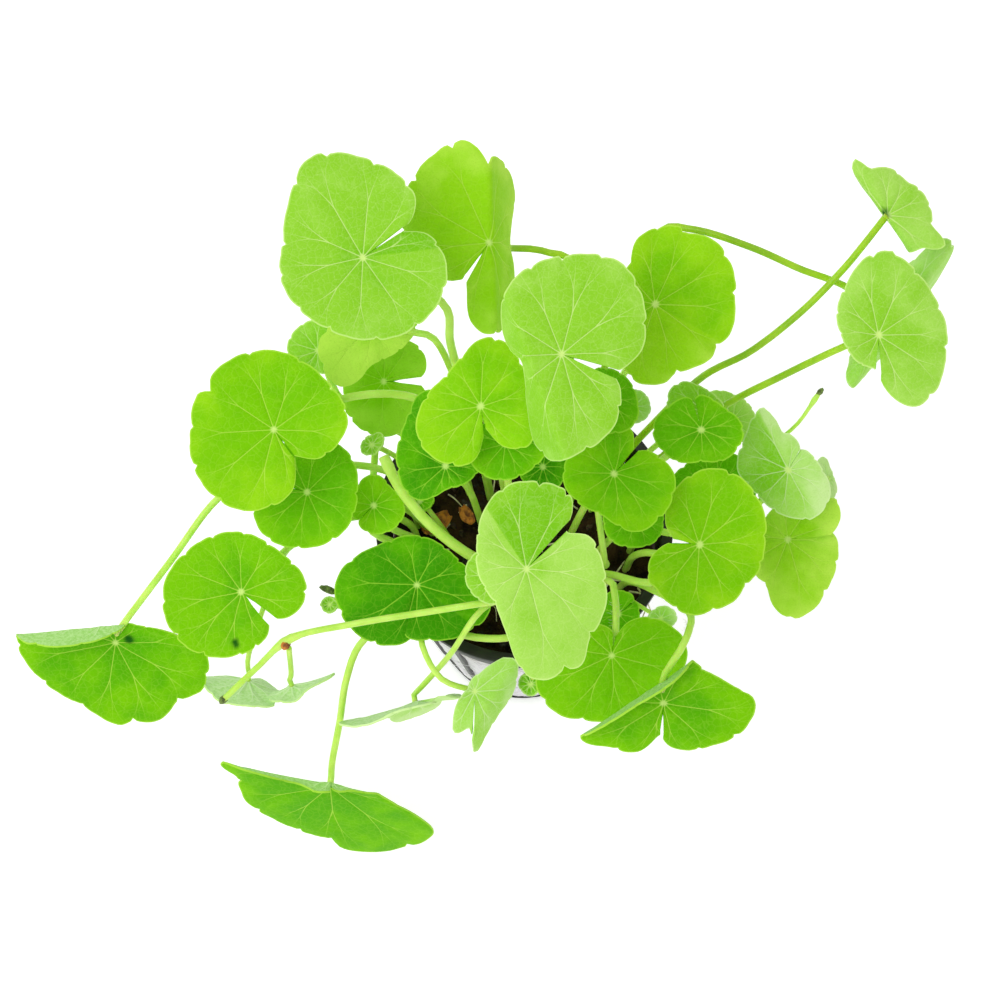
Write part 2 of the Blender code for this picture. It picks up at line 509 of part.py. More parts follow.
leaf("leaf_38_runner_left", (-45.7, -23, 34), (141, 253),
     ((0, 6, 10), (35, 6), (50, 7.5), (75, 7.5), (102, 7), (131, 7.5), (160, 8), (185, 7.5, 10),
      (225, 6, 25), (270, 5, 30), (315, 5, 25)), 240,
     [(-45.2, -20.4, 40), (-42.6, -14.6, 46), (-39.8, -7.4, 49.5), (-34, -1, 51), (-29, 2.2, 51),
     *over_rim(173, 50.4)],
     inside_rim(173), LEAF_PALE, thick=0.5)
leaf("leaf_39_runner_right", (-37.9, -25.2, 38), (135, 300),
     ((0, 7.5), (30, 5), (60, 4), (90, 4), (140, 4.5), (180, 4), (225, 3, 20), (270, 3, 30),
      (330, 4, 20)), 250,
     [(-37.8, -24.6, 44)], (-37.4, -24.1, 55), LEAF_PALE, columns=12, thick=0.5)
leaf("leaf_40_rim_sprout", (-31.4, -15.6, 51.6), (20, 260), (1.4, 1.4, 1.4, 1.4, 1.4, 1.4, 1.4, 1.4), 200,
     [(-29, -15.6, 50.6), *over_rim(213)], inside_rim(213), LEAF_LIGHT, pitch=12, columns=8, thick=0.45)
leaf("leaf_41_right_young", (48.6, 2.8, 60), (30, 290),
     ((20, 0.9), (84, 1.9), (97, 3.4), (116, 3.6), (160, 1.8), (250, 2), (278, 3.3), (300, 2.7),
      (330, 1.6)), 200,
     [(38, 4.6, 55), *over_rim(8)], inside_rim(8), LEAF_PALE, columns=12, thick=0.5)
leaf("leaf_42_node_young", (-24.5, 7, 64), (25, 230), (2, 2.5, 1.6, 1.6, 1.8, 2, 1.6, 1.6), 140,
     [(-20, 8.8, 53)], (-14.8, 8.4), LEAF_LIGHT, columns=8, thick=0.5)
leaf("leaf_43_inner_left", (-17, 1.4, 54), (20, 200), (2.5, 2, 1.6, 1.6, 1.7, 1.8, 2, 2.2), 110,
     [(-14, 0.2, 47)], (-11.8, -0.6), LEAF_DARK, columns=8, thick=0.5)
leaf("leaf_44_low_right", (21.8, -18, 51.6), (22, 280), (2.6, 2.4, 2, 2, 2.2, 2, 1.6, 2), 120,
     [(19.7, -16.2, 50.4), (15.8, -12.9, 48)], (14.3, -11.6), LEAF_PALE, columns=8, thick=0.4)
leaf("leaf_45_inner_front", (15, -17.3, 52), (20, 290), (3.4, 3.8, 3.8, 3.8, 3.5, 4, 4.2, 3.8), 40,
     [(13, -14, 47)], (11, -12.2), LEAF_DARK, columns=10, thick=0.5)
leaf("leaf_46_front_rim", (0.9, -27.2, 46), (30, 265), (1.7, 2, 2.3, 2, 2, 1.8, 2, 1.8), 110,
     [*over_rim(274)], (2.4, -15.4), LEAF_LIGHT, columns=8, thick=0.45)
leaf("leaf_47_right_notched_back", (27.7, 8.8, 74), (20, 270),
     ((0, 3.5), (40, 3), (84, 3.3), (111, 4.5), (128, 5.5), (150, 6), (210, 5), (270, 4)), 300,
     [(20, 8.3, 58)], (12.8, 7.4), LEAF_LIGHT, columns=10, thick=0.55)

# Creeping stems
stem("stem_runner", [(0.2, -12.8, FOOT_Z), (-0.5, -16.3, 54), (-3.4, -19.4, 64.2), (-16.3, -21, 63),
     (-27.3, -22.2, 61), (-36.9, -23.1, 57), (-42.9, -26.2, 51), (-48.5, -29.9, 46)], (0.6, 0.5), steps=12)
stem("stem_thick", [(-22.4, 3.8, 67), (-19.7, -0.9, 64.5), (-14.9, -6, 62), (-8.7, -9.2, 57), (-3, -9.2, 50),
     (-1, -7.6, FOOT_Z)], (0.85, 0.85), steps=10)
stem("stem_front_rim", [(-9.8, -15.4, FOOT_Z), (-12.8, -17.4, 51.5), (-9.8, -21, 52.5), (-3.2, -21.6, 52.5),
     (-1, -18.5, 48), (-1.4, -15.3, FOOT_Z)], (0.6, 0.6), steps=10)
stem("stem_inner", [(12.5, -3.4, FOOT_Z), (12.9, -8.2, 51), (11.5, -2.8, 61)], (0.6, 0.5), steps=5)
stem("stem_bud", [(*inside_rim(16), FOOT_Z), *over_rim(16)[::-1], (35, 6.9, 57.5), (42, 7.7, 68.5),
     (46, 11.6, 74)], (0.5, 0.36), steps=8, sides=5)
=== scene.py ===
# %% [markdown]
# # A Brazilian pennywort in its net pot
# The plant stands in a black plastic net pot that is filled with rock wool. Its round leaves each sit on
# a stalk of their own, and a few creeping stems run out over the rim. The frame that is loaded first
# holds every piece as a plain solid. The cells below put a finished piece in the place of each one.

# %% Load the frame
import math
import random

import bpy
import numpy as np
from mathutils import Matrix, Vector, noise


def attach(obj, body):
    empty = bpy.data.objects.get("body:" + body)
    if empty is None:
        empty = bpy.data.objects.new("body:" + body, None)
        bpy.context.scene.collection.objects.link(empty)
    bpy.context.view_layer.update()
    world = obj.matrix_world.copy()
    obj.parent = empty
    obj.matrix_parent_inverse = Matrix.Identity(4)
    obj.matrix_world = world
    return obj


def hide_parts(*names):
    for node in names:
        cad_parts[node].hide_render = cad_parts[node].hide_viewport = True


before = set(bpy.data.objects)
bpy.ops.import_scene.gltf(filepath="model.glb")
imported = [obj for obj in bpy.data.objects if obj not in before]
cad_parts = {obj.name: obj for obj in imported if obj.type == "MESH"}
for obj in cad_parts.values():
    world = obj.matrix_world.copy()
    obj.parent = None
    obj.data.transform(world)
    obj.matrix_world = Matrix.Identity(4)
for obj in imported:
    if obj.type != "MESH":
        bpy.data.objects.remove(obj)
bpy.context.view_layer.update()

MM = 0.001
print("solids loaded:", len(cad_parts))

# %% [markdown]
# Most tools of Blender work on what is selected, and the solids come in selected. Small helpers keep that
# tidy: one selects nothing, one a single object, and one parts of its mesh by their place. One applies the
# modifiers, as the button in the modifier panel does.

# %% Selecting and applying
def nothing():
    """Deselects every object, because a new primitive and an operator act on all that is selected."""
    bpy.ops.object.select_all(action="DESELECT")


def only(piece):
    """Selects this object alone and makes it the active one."""
    nothing()
    piece.select_set(True)
    bpy.context.view_layer.objects.active = piece


def pick(piece, wanted, what="FACE"):
    """Goes into edit mode with those faces or vertices selected whose centre, in mm, is wanted."""
    only(piece)
    bpy.ops.object.mode_set(mode="EDIT")
    bpy.ops.mesh.select_mode(type=what)
    bpy.ops.mesh.select_all(action="DESELECT")
    bpy.ops.object.mode_set(mode="OBJECT")
    parts = piece.data.polygons if what == "FACE" else piece.data.vertices
    for part in parts:
        centre = part.center if what == "FACE" else part.co
        part.select = bool(wanted(centre / MM))
    bpy.ops.object.mode_set(mode="EDIT")


def apply_modifiers(piece):
    """Makes the modifiers' result the mesh itself."""
    only(piece)
    for modifier in list(piece.modifiers):
        bpy.ops.object.modifier_apply(modifier=modifier.name)


def hand_over(piece, slot, *nodes):
    """Lets the finished piece move with the pot, and hides the solids that it stands for."""
    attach(piece, "root")
    if nodes:
        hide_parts(*nodes)
    print(piece.name, len(piece.data.polygons), "faces")


# %% [markdown]
# ## Floor, light and camera
# The plant is shown on plain white in very soft light, seen steeply from the front. A white sky that
# shines from everywhere gives that light, and one large lamp high on the left models the leaves a little.

# %% The studio
CAMERA_ELEVATION = 68.3
CAMERA_DISTANCE = 455 * MM
AIM = Vector((-4.0, 3.4, 49.3)) * MM
SKY_STRENGTH = 0.76
LAMP_POWER = 2.0
LAMP_SIZE = 0.5
FLOOR_GLOW = 0.42
LAMP_PLACE = Vector((-0.32, -0.18, 0.62))
LENS = 100.0
SENSOR = 36.0
NEAREST_SEEN = 10 * MM
FLOOR_SIZE = 6.0
FLOOR_DROP = 0.1 * MM
PURE_WHITE = (1.0, 1.0, 1.0, 1.0)

scene = bpy.context.scene
scene.view_settings.view_transform = "Standard"
scene.view_settings.look = "None"
sky = bpy.data.worlds.new("white sky")
sky.use_nodes = True
background = sky.node_tree.nodes["Background"]
background.inputs["Color"].default_value = PURE_WHITE
background.inputs["Strength"].default_value = SKY_STRENGTH
scene.world = sky

turn = math.radians(CAMERA_ELEVATION)
look_from = AIM + CAMERA_DISTANCE * Vector((0.0, -math.cos(turn), math.sin(turn)))
bpy.ops.object.camera_add(location=look_from, rotation=(math.pi / 2 - turn, 0.0, 0.0))
camera = bpy.context.object
camera.data.lens = LENS
camera.data.sensor_width = SENSOR
camera.data.clip_start = NEAREST_SEEN
scene.camera = camera

bpy.ops.object.light_add(type="AREA", location=LAMP_PLACE)
lamp = bpy.context.object
lamp.name = "soft_lamp"
lamp.rotation_euler = (AIM - LAMP_PLACE).to_track_quat("-Z", "Y").to_euler()
lamp.data.size = LAMP_SIZE
lamp.data.energy = LAMP_POWER

bpy.ops.mesh.primitive_plane_add(size=FLOOR_SIZE, location=(0.0, 0.0, -FLOOR_DROP))
floor = bpy.context.object
floor.name = "floor"
print("camera at", [round(v / MM) for v in look_from], "mm")

# %% [markdown]
# ## Painting with numbers
# A material is a net of nodes. Writing one out link by link is long, so a small class wraps a socket and
# lets Python's own signs add the Math nodes: `1 - mask` becomes a Subtract node. Everything else comes
# from one method, `node`, which takes the node's type, its settings and what goes into its sockets.

# %% Sockets that can be added and multiplied
class Link:
    """The output of a node, to be used in sums."""

    def __init__(self, skin, socket):
        self.skin = skin
        self.socket = socket

    def maths(self, operation, *values):
        return self.skin.node("ShaderNodeMath", {"operation": operation}, dict(enumerate(values)))

    def __add__(self, other):
        return self.maths("ADD", self, other)

    def __sub__(self, other):
        return self.maths("SUBTRACT", self, other)

    def __rsub__(self, other):
        return self.maths("SUBTRACT", other, self)

    def __mul__(self, other):
        return self.maths("MULTIPLY", self, other)

    def __truediv__(self, other):
        return self.maths("DIVIDE", self, other)

    def __abs__(self):
        return self.maths("ABSOLUTE", self)

    __radd__ = __add__
    __rmul__ = __mul__

    def sine(self):
        return self.maths("SINE", self)

    def whole(self):
        return self.maths("FLOOR", self)

    def at_least(self, other):
        return self.maths("MAXIMUM", self, other)

    def step(self, low, high, start=0.0, end=1.0):
        """Goes smoothly from start to end while the value goes from low to high."""
        values = {"Value": self, "From Min": low, "From Max": high, "To Min": start, "To Max": end}
        return self.skin.node("ShaderNodeMapRange", {"interpolation_type": "SMOOTHSTEP"}, values)


class Skin:
    """A material whose nodes are added one after the other."""

    def __init__(self, name):
        self.material = bpy.data.materials.new(name)
        self.material.use_nodes = True
        self.tree = self.material.node_tree
        self.tree.nodes.clear()

    def node(self, kind, settings, values, out=0):
        """Adds a node with these settings and socket values. out names the output, None gives them all."""
        made = self.tree.nodes.new(kind)
        for key, value in settings.items():
            setattr(made, key, value)
        for key, value in values.items():
            if isinstance(value, Link):
                self.tree.links.new(value.socket, made.inputs[key])
            else:
                made.inputs[key].default_value = value
        if out is None:
            return [Link(self, socket) for socket in made.outputs]
        return Link(self, made.outputs[out])

    def place(self):
        """The point of the surface in the object's own coordinates."""
        return self.node("ShaderNodeTexCoord", {}, {}, "Object")

    def attribute(self, name):
        """A value that the mesh carries at each of its points."""
        return self.node("ShaderNodeAttribute", {"attribute_name": name}, {}, "Fac")

    def grain(self, size, detail=3.0, rough=0.5):
        """Soft random patches about this many mm across, from 0 to 1."""
        values = {"Vector": self.place(), "Scale": 1.0 / (size * MM), "Detail": detail, "Roughness": rough}
        return self.node("ShaderNodeTexNoise", {}, values)

    def blend(self, mask, low, high):
        """The colour low where the mask is 0 and high where it is 1."""
        return self.node("ShaderNodeMix", {"data_type": "RGBA"}, {0: mask, 6: low, 7: high}, 2)

    def finish(self, colour, roughness, height=None, depth=0.05, **fixed):
        """Puts the parts into a Principled shader. fixed holds the values that are the same all over."""
        values = {"Base Color": colour, "Roughness": roughness}
        if height is not None:
            bump = {"Height": height, "Strength": 1.0, "Distance": depth * MM}
            values["Normal"] = self.node("ShaderNodeBump", {}, bump)
        values.update({key.replace("_", " "): value for key, value in fixed.items()})
        shader = self.node("ShaderNodeBsdfPrincipled", {}, values)
        self.node("ShaderNodeOutputMaterial", {}, {"Surface": shader}, None)
        return self.material


def seen(red, green, blue):
    """A colour typed as the eye reads it on a screen, 0 to 255, turned into what the shader needs."""
    linear = [v / 255 / 12.92 if v <= 10 else ((v / 255 + 0.055) / 1.055) ** 2.4 for v in (red, green, blue)]
    return (*linear, 1.0)


white = Skin("white_floor")
floor.data.materials.append(white.finish(seen(240, 240, 240), 0.9, Specular_IOR_Level=0.0,
                                         Emission_Color=PURE_WHITE, Emission_Strength=FLOOR_GLOW))
print("white floor ready")

# %% [markdown]
# ## The leaf's skin
# A pennywort blade has a mottled, velvety upper side. Ten pale veins leave the pale spot over
# the stalk and fork twice before they reach the margin, which has a thin light line. The veins could
# be drawn as curves, but they belong to the surface, so they are worked out from the blade's own
# coordinates: u runs round the blade from its notch and v runs from the stalk to the margin. The same sums
# are used twice, once in the material for the colour and once on the mesh for the furrows.

# %% Vein pattern and leaf skins
VEINS = 10
VEIN_WIDTH = 0.17
VEIN_TAPER = 0.11
VEIN_STRAY = 0.16
FIRST_FORK = 0.5
SECOND_FORK = 0.74
FORK_STRAY = 0.1
FIRST_SPREAD = 0.52
SECOND_SPREAD = 0.36
VEIN_STRENGTH = 0.62
EDGE_STRENGTH = 0.6
HUB_STRENGTH = 0.9
NET_STRENGTH = 0.1
HUB_COLOUR = seen(205, 236, 130)
SPOT_COLOUR = seen(22, 88, 8)
HUB_SPOT = 0.32
EDGE_LINE = 0.22
NET_SIZE = 1.1


def vein_distance(u, v, reach, seed, whole, sine, at_least):
    """Distance in mm to the nearest vein. It takes the maths to use, so it serves sockets and arrays."""
    sector = u * VEINS
    number = whole(sector)
    off = sector - number - 0.5 + VEIN_STRAY * sine(number * 12.9 + seed)
    fork = FIRST_FORK + FORK_STRAY * sine(number * 7.3 + seed)
    first = at_least(v - fork, 0.0) * FIRST_SPREAD
    second = at_least(v - (fork + SECOND_FORK - FIRST_FORK), 0.0) * SECOND_SPREAD
    side = abs(abs(abs(off) - first) - second)
    return side * v * reach * (2 * math.pi / VEINS)


def blade_colours(skin):
    """What both sides of a blade share: the masks of veins, hub and margin, and v itself."""
    uv = skin.node("ShaderNodeTexCoord", {}, {}, "UV")
    u, v, _ = skin.node("ShaderNodeSeparateXYZ", {}, {"Vector": uv}, None)
    reach = skin.attribute("reach")
    seed = skin.attribute("seed")
    away = vein_distance(u, v, reach, seed, Link.whole, Link.sine, Link.at_least)
    width = VEIN_WIDTH - VEIN_TAPER * v
    veins = (away / width).step(0.35, 1.25, 1.0, 0.0) * v.step(0.45, 0.95, 1.0, 0.2)
    hub = (v * reach).step(HUB_SPOT * 0.6, HUB_SPOT * 2.4, 1.0, 0.0)
    edge = ((1 - v) * reach).step(EDGE_LINE * 0.4, EDGE_LINE * 1.5, 1.0, 0.0)
    return veins, hub, edge, v


def leaf_skin(name, deep, main, light, vein, speckle, sheen, gloss):
    """The upper side: deep, main and light are its patches, vein the colour of veins and margin. speckle is
    the strength of the fine light dots, sheen the shine and gloss the lowest roughness."""
    skin = Skin(name)
    veins, hub, edge, v = blade_colours(skin)
    patches = skin.grain(5.0, 2.0)
    velvet = skin.grain(0.26, 4.0, 0.65)
    net = skin.node("ShaderNodeTexVoronoi", {"feature": "DISTANCE_TO_EDGE"},
                    {"Vector": skin.place(), "Scale": 1.0 / (NET_SIZE * MM)}).step(0.02, 0.09, 1.0, 0.0)
    # The tone attribute holds each blade's own lightness together with its painted shade and sheen. Above 0.5
    # it runs on towards the vein colour, a painted light that lightens blades lying in the shade of others.
    tone = skin.attribute("tone") + (patches - 0.5) * 0.9 + (v - 0.62) * 0.35
    colour = skin.blend(tone.step(-0.5, 0.0), deep, main)
    colour = skin.blend(tone.step(0.0, 0.5), colour, light)
    colour = skin.blend(tone.step(0.5, 1.1), colour, vein)
    colour = skin.blend(velvet.step(0.5, 0.8) * speckle, colour, vein)
    colour = skin.blend(velvet.step(0.5, 0.25) * 0.25, colour, deep)
    colour = skin.blend(net * NET_STRENGTH, colour, vein)
    colour = skin.blend(veins * VEIN_STRENGTH, colour, vein)
    colour = skin.blend(edge * EDGE_STRENGTH, colour, vein)
    colour = skin.blend(hub * HUB_STRENGTH, colour, HUB_COLOUR)
    colour = skin.blend(skin.attribute("spot"), colour, SPOT_COLOUR)
    height = velvet * 0.4 - veins * 0.9 - net * 0.3
    rough = (patches * 0.25 + gloss) - veins * 0.05
    return skin.finish(colour, rough, height, 0.05, Specular_IOR_Level=sheen)


def under_skin(name, main, light, vein):
    """The lower side: paler, duller, with raised veins."""
    skin = Skin(name)
    veins, hub, _, _ = blade_colours(skin)
    mottle = skin.grain(0.5, 4.0, 0.6)
    colour = skin.blend(mottle.step(0.3, 0.7), main, light)
    colour = skin.blend((veins + hub).step(0.0, 1.0) * 0.75, colour, vein)
    height = veins * 0.9 + mottle * 0.35
    return skin.finish(colour, mottle * 0.2 + 0.5, height, 0.06, Specular_IOR_Level=0.2)


UNDER = under_skin("leaf_underside", seen(146, 206, 92), seen(182, 226, 140), seen(206, 240, 168))
UNDER_PALE = under_skin("young_leaf_underside", seen(176, 222, 134), seen(206, 236, 176), seen(222, 246, 198))
# The upper skins are partly the leaves' own greens and partly painted light: the light skin is painted light
# for blades lit from above, and the dark skin is painted shade for blades deep in the clump.
LIGHT_UPPER = leaf_skin("leaf_light_skin", seen(116, 190, 8), seen(138, 203, 38), seen(164, 217, 84),
                        seen(212, 242, 146), 0.3, 0.12, 0.45)
GREEN_UPPER = leaf_skin("leaf_green_skin", seen(84, 170, 0), seen(118, 194, 0), seen(146, 211, 18),
                        seen(190, 232, 84), 0.16, 0.05, 0.45)
DARK_UPPER = leaf_skin("leaf_dark_skin", seen(62, 150, 0), seen(100, 184, 0), seen(132, 204, 8),
                       seen(172, 226, 66), 0.16, 0.05, 0.48)
PALE_UPPER = leaf_skin("leaf_pale_skin", seen(124, 196, 16), seen(162, 218, 84), seen(200, 233, 150),
                       seen(214, 241, 170), 0.3, 0.15, 0.5)
LIGHT = ("leaf_light", LIGHT_UPPER, UNDER)
GREEN = ("leaf_green", GREEN_UPPER, UNDER)
DARK = ("leaf_dark", DARK_UPPER, UNDER)
PALE = ("leaf_pale", PALE_UPPER, UNDER_PALE)
print("leaf skins:", [skin[0] for skin in (LIGHT, GREEN, DARK, PALE)])

# %% [markdown]
# Stalks and creeping stems are juicy and half see-through, so they look lightest in the middle. The net
# pot is black plastic with a dull film of lime and algae, and the rock wool is a pale felt of stone fibres
# whose top is painted dark brown as shade, the shade of the leaves above it.

# %% Skins of stalks, pot and growing medium
SCATTER = (0.5, 1.0, 0.2)
SCATTER_DEPTH = 1.2
PAINTED_SHADE_FROM = 38.5
PAINTED_SHADE_ALL = 41.0
BROWNER_FROM = 36.0
BROWNEST_AT = 48.0


def stalk_skin(name, deep, main, light):
    """Juicy stalks: patches of deep and main, with light streaks."""
    skin = Skin(name)
    patches = skin.grain(4.0, 2.0)
    fine = skin.grain(0.35, 3.0)
    colour = skin.blend(patches.step(0.3, 0.7), deep, main)
    colour = skin.blend(fine.step(0.55, 0.8) * 0.4, colour, light)
    return skin.finish(colour, patches * 0.2 + 0.3, fine, 0.03, Specular_IOR_Level=0.4,
                       Subsurface_Weight=0.5, Subsurface_Radius=SCATTER, Subsurface_Scale=SCATTER_DEPTH * MM)


def pot_skin():
    """Black plastic with a dull greenish film and specks of lime."""
    skin = Skin("black_plastic_skin")
    film = skin.grain(6.0, 4.0, 0.6)
    dust = skin.grain(0.5, 3.0, 0.7)
    colour = skin.blend(film.step(0.45, 0.75) * 0.5, seen(14, 15, 13), seen(52, 58, 36))
    colour = skin.blend(dust.step(0.66, 0.8) * 0.5, colour, seen(96, 96, 84))
    return skin.finish(colour, film * 0.3 + 0.3, dust, 0.02, Specular_IOR_Level=0.5)


def wool_skin():
    """Pale felt, browner upwards from BROWNER_FROM and painted dark as shade from PAINTED_SHADE_FROM, both
    heights in mm.
    """
    skin = Skin("rock_wool_skin")
    clumps = skin.grain(3.0, 4.0, 0.6)
    fibres = skin.node("ShaderNodeTexNoise", {}, {
        "Vector": skin.node("ShaderNodeMapping", {}, {"Vector": skin.place(), "Scale": (1.0, 1.0, 5.0)}),
        "Scale": 900.0, "Detail": 6.0, "Roughness": 0.7, "Distortion": 1.2})
    _, _, height = skin.node("ShaderNodeSeparateXYZ", {}, {"Vector": skin.place()}, None)
    # Painted shade: the top goes dark, for the shade of the leaves over the plug, with brown patches in it.
    painted_shade = (height / MM + clumps * 3.0).step(PAINTED_SHADE_FROM, PAINTED_SHADE_ALL)
    # The side turns a little browner towards the top.
    browner = (height / MM + clumps * 16.0).step(BROWNER_FROM, BROWNEST_AT) * 0.25
    colour = skin.blend(fibres.step(0.35, 0.7), seen(236, 230, 238), seen(254, 252, 255))
    colour = skin.blend(browner, colour, seen(140, 120, 92))
    dark = skin.blend(clumps.step(0.35, 0.65), seen(20, 16, 12), seen(62, 44, 26))
    colour = skin.blend(painted_shade, colour, dark)
    return skin.finish(colour, 0.95, fibres + clumps * 0.6, 0.25, Specular_IOR_Level=0.1)


def plain_skin(name, low, high, size, roughness, bump=0.05, **fixed):
    """Two colours in patches of one size, for crumbs, roots and wilted bits."""
    skin = Skin(name)
    patches = skin.grain(size, 4.0, 0.6)
    colour = skin.blend(patches.step(0.35, 0.65), low, high)
    return skin.finish(colour, roughness, patches, bump, **fixed)


STALK = stalk_skin("stalk_skin", seen(176, 218, 72), seen(198, 232, 102), seen(220, 246, 156))
RIPE = stalk_skin("ripe_stalk_skin", seen(142, 188, 8), seen(166, 206, 26), seen(204, 232, 92))
BLACK = pot_skin()
WOOL = wool_skin()
CRUMB = plain_skin("crumb_skin", seen(22, 17, 12), seen(70, 50, 30), 0.8, 0.9)
ROOT = plain_skin("root_skin", seen(196, 180, 140), seen(232, 224, 196), 1.2, 0.6)
WILTED = plain_skin("wilted_leaf_skin", seen(120, 62, 16), seen(206, 128, 36), 1.0, 0.7)
CUT = plain_skin("cut_tip_skin", seen(62, 76, 26), seen(118, 142, 60), 0.5, 0.7)
print("materials:", len(bpy.data.materials))

# %% [markdown]
# ## Net pot
# The pot is one plastic moulding: a flat floor, upright ribs with wide windows, a plain collar and a
# flange at the rim. It could be cut from a solid cup, but a thin moulding is easier as a sheet: a
# disc for the floor, its rim extruded ring by ring up the wall, the window faces deleted, and then
# a thickness for all of it at once. Seven columns to each rib make one face just as wide as a rib.

# %% Model the net pot
RIBS = 20
COLUMNS = 7 * RIBS
RIB_AT = 276.0
WALL = 1.0
FLOOR_RADIUS = 14.6
FLOOR_MIDDLE = 0.5
EDGE_ROUND = 0.28
WALL_RINGS = ((14.7, 1.0), (18.1, 18.0), (21.8, 38.0), (22.2, 40.5), (22.6, 46.0), (22.9, 47.25),
              (24.4, 47.25))
WINDOW_LOW = 1.0
WINDOW_HIGH = 40.5


def lathe(start_radius, start_z, rings, columns):
    """A filled disc whose border is extruded through the rings, each a radius and a height in mm."""
    nothing()
    bpy.ops.mesh.primitive_circle_add(vertices=columns, radius=start_radius * MM, fill_type="NGON",
                                      location=(0.0, 0.0, start_z * MM))
    piece = bpy.context.object
    bpy.ops.object.transform_apply(location=True)
    bpy.ops.object.mode_set(mode="EDIT")
    bpy.ops.mesh.select_mode(type="EDGE")
    bpy.ops.mesh.select_all(action="SELECT")
    radius, z = start_radius, start_z
    for next_radius, next_z in rings:
        bpy.ops.mesh.extrude_edges_move(TRANSFORM_OT_translate={"value": (0.0, 0.0, (next_z - z) * MM)})
        grow = next_radius / radius
        bpy.ops.transform.resize(value=(grow, grow, 1.0), center_override=(0.0, 0.0, next_z * MM))
        radius, z = next_radius, next_z
    bpy.ops.object.mode_set(mode="OBJECT")
    return piece


def in_window(centre):
    """True for a wall face between two ribs."""
    angle = math.degrees(math.atan2(centre.y, centre.x))
    from_rib = (angle - RIB_AT + 180 / RIBS) % (360 / RIBS) - 180 / RIBS
    return WINDOW_LOW < centre.z < WINDOW_HIGH and abs(from_rib) > 180 / COLUMNS


pot = lathe(FLOOR_RADIUS, FLOOR_MIDDLE, WALL_RINGS, COLUMNS)
pot.name = "net_pot_moulded"
half_column = 180 / COLUMNS
pot.rotation_euler.z = math.radians((RIB_AT - half_column) % (360 / COLUMNS))
bpy.ops.object.transform_apply(rotation=True)
pick(pot, in_window)
bpy.ops.mesh.delete(type="FACE")
bpy.ops.mesh.select_all(action="SELECT")
bpy.ops.mesh.normals_make_consistent(inside=False)
bpy.ops.object.mode_set(mode="OBJECT")
wall = pot.modifiers.new("wall", "SOLIDIFY")
wall.thickness = WALL * MM
wall.offset = 0.0
soft = pot.modifiers.new("moulded edges", "BEVEL")
soft.width = EDGE_ROUND * MM
soft.segments = 3
soft.limit_method = "ANGLE"
soft.angle_limit = math.radians(35)
apply_modifiers(pot)
bpy.ops.object.shade_smooth_by_angle(angle=math.radians(40))
pot.data.materials.append(BLACK)
hand_over(pot, "pot", "net_pot")

# %% [markdown]
# ## Rock wool
# The plug is pressed into the pot and bulges a little between the ribs. Its top is rough, and its skin
# paints it dark as shade. A plain cylinder would look like a tin, so the plug is built in rings, every point
# is then moved by a random swell, and loose fibres are laid over the sides, each a thin tube with three
# sides.

# %% Model the rock wool
WOOL_COLUMNS = 128
WOOL_SIDE_RINGS = 26
WOOL_TOP_RINGS = 12
WOOL_FOOT = 14.9
WOOL_LOW = 1.2
WOOL_BROAD = 22.1
WOOL_TOP = 40.0
WOOL_SHOULDER = 0.8
WOOL_INSET = 1.0
WOOL_EYE = 0.2
ROUGH_TOP = 1.0


def swell(point, size, seed):
    """Soft random bumps about size mm across, from -1 to 1."""
    return noise.noise(Vector(point) / size + Vector((seed, 0.0, 0.0)))


def wool_radius(level):
    """The plug's radius at this height, a cone that widens upwards."""
    return WOOL_FOOT + (WOOL_BROAD - WOOL_FOOT) * (level - WOOL_LOW) / (WOOL_TOP - WOOL_LOW)


ring_step = (WOOL_TOP - WOOL_SHOULDER - WOOL_LOW) / WOOL_SIDE_RINGS
levels = [WOOL_LOW + ring_step * (k + 1) for k in range(WOOL_SIDE_RINGS)]
side = [(wool_radius(level), level) for level in levels]
# The last ring leaves an open middle, 2 mm in radius, in the shade of the stalks.
top_radius = WOOL_BROAD - WOOL_INSET
top = [(top_radius * (1 - k / WOOL_TOP_RINGS) + WOOL_EYE, WOOL_TOP) for k in range(WOOL_TOP_RINGS)]
wool = lathe(WOOL_FOOT, WOOL_LOW, side + top, WOOL_COLUMNS)
wool.name = "rock_wool_felt"
bpy.ops.object.mode_set(mode="EDIT")
bpy.ops.mesh.select_all(action="SELECT")
bpy.ops.mesh.normals_make_consistent(inside=False)
bpy.ops.object.mode_set(mode="OBJECT")
for vertex in wool.data.vertices:
    spot = vertex.co / MM
    if spot.z > WOOL_TOP - ROUGH_TOP:
        spot.z += 1.1 * swell(spot, 3.2, 2.0) + 0.5 * swell(spot, 1.1, 5.0)
    out = 0.32 * swell(spot, 4.0, 9.0) + 0.2 * swell(spot, 1.3, 4.0)
    vertex.co = Vector((spot.x * (1 + out / 20), spot.y * (1 + out / 20), spot.z)) * MM
only(wool)
bpy.ops.object.shade_smooth()
wool.data.materials.append(WOOL)
hand_over(wool, "rock_wool", "rock_wool")

# %% [markdown]
# Fibres, crumbs and hairs are one small shape repeated hundreds of times. Particle systems would not
# be kept as shapes, so the small shape is modelled once and a helper writes all its copies, each
# moved, turned and stretched, into one mesh.

# %% Lay loose fibres over the wool
FIBRES = 420
FIBRE_LOWEST = 3
FIBRE_OUT = 0.12
STRAND_TAPER = 0.6


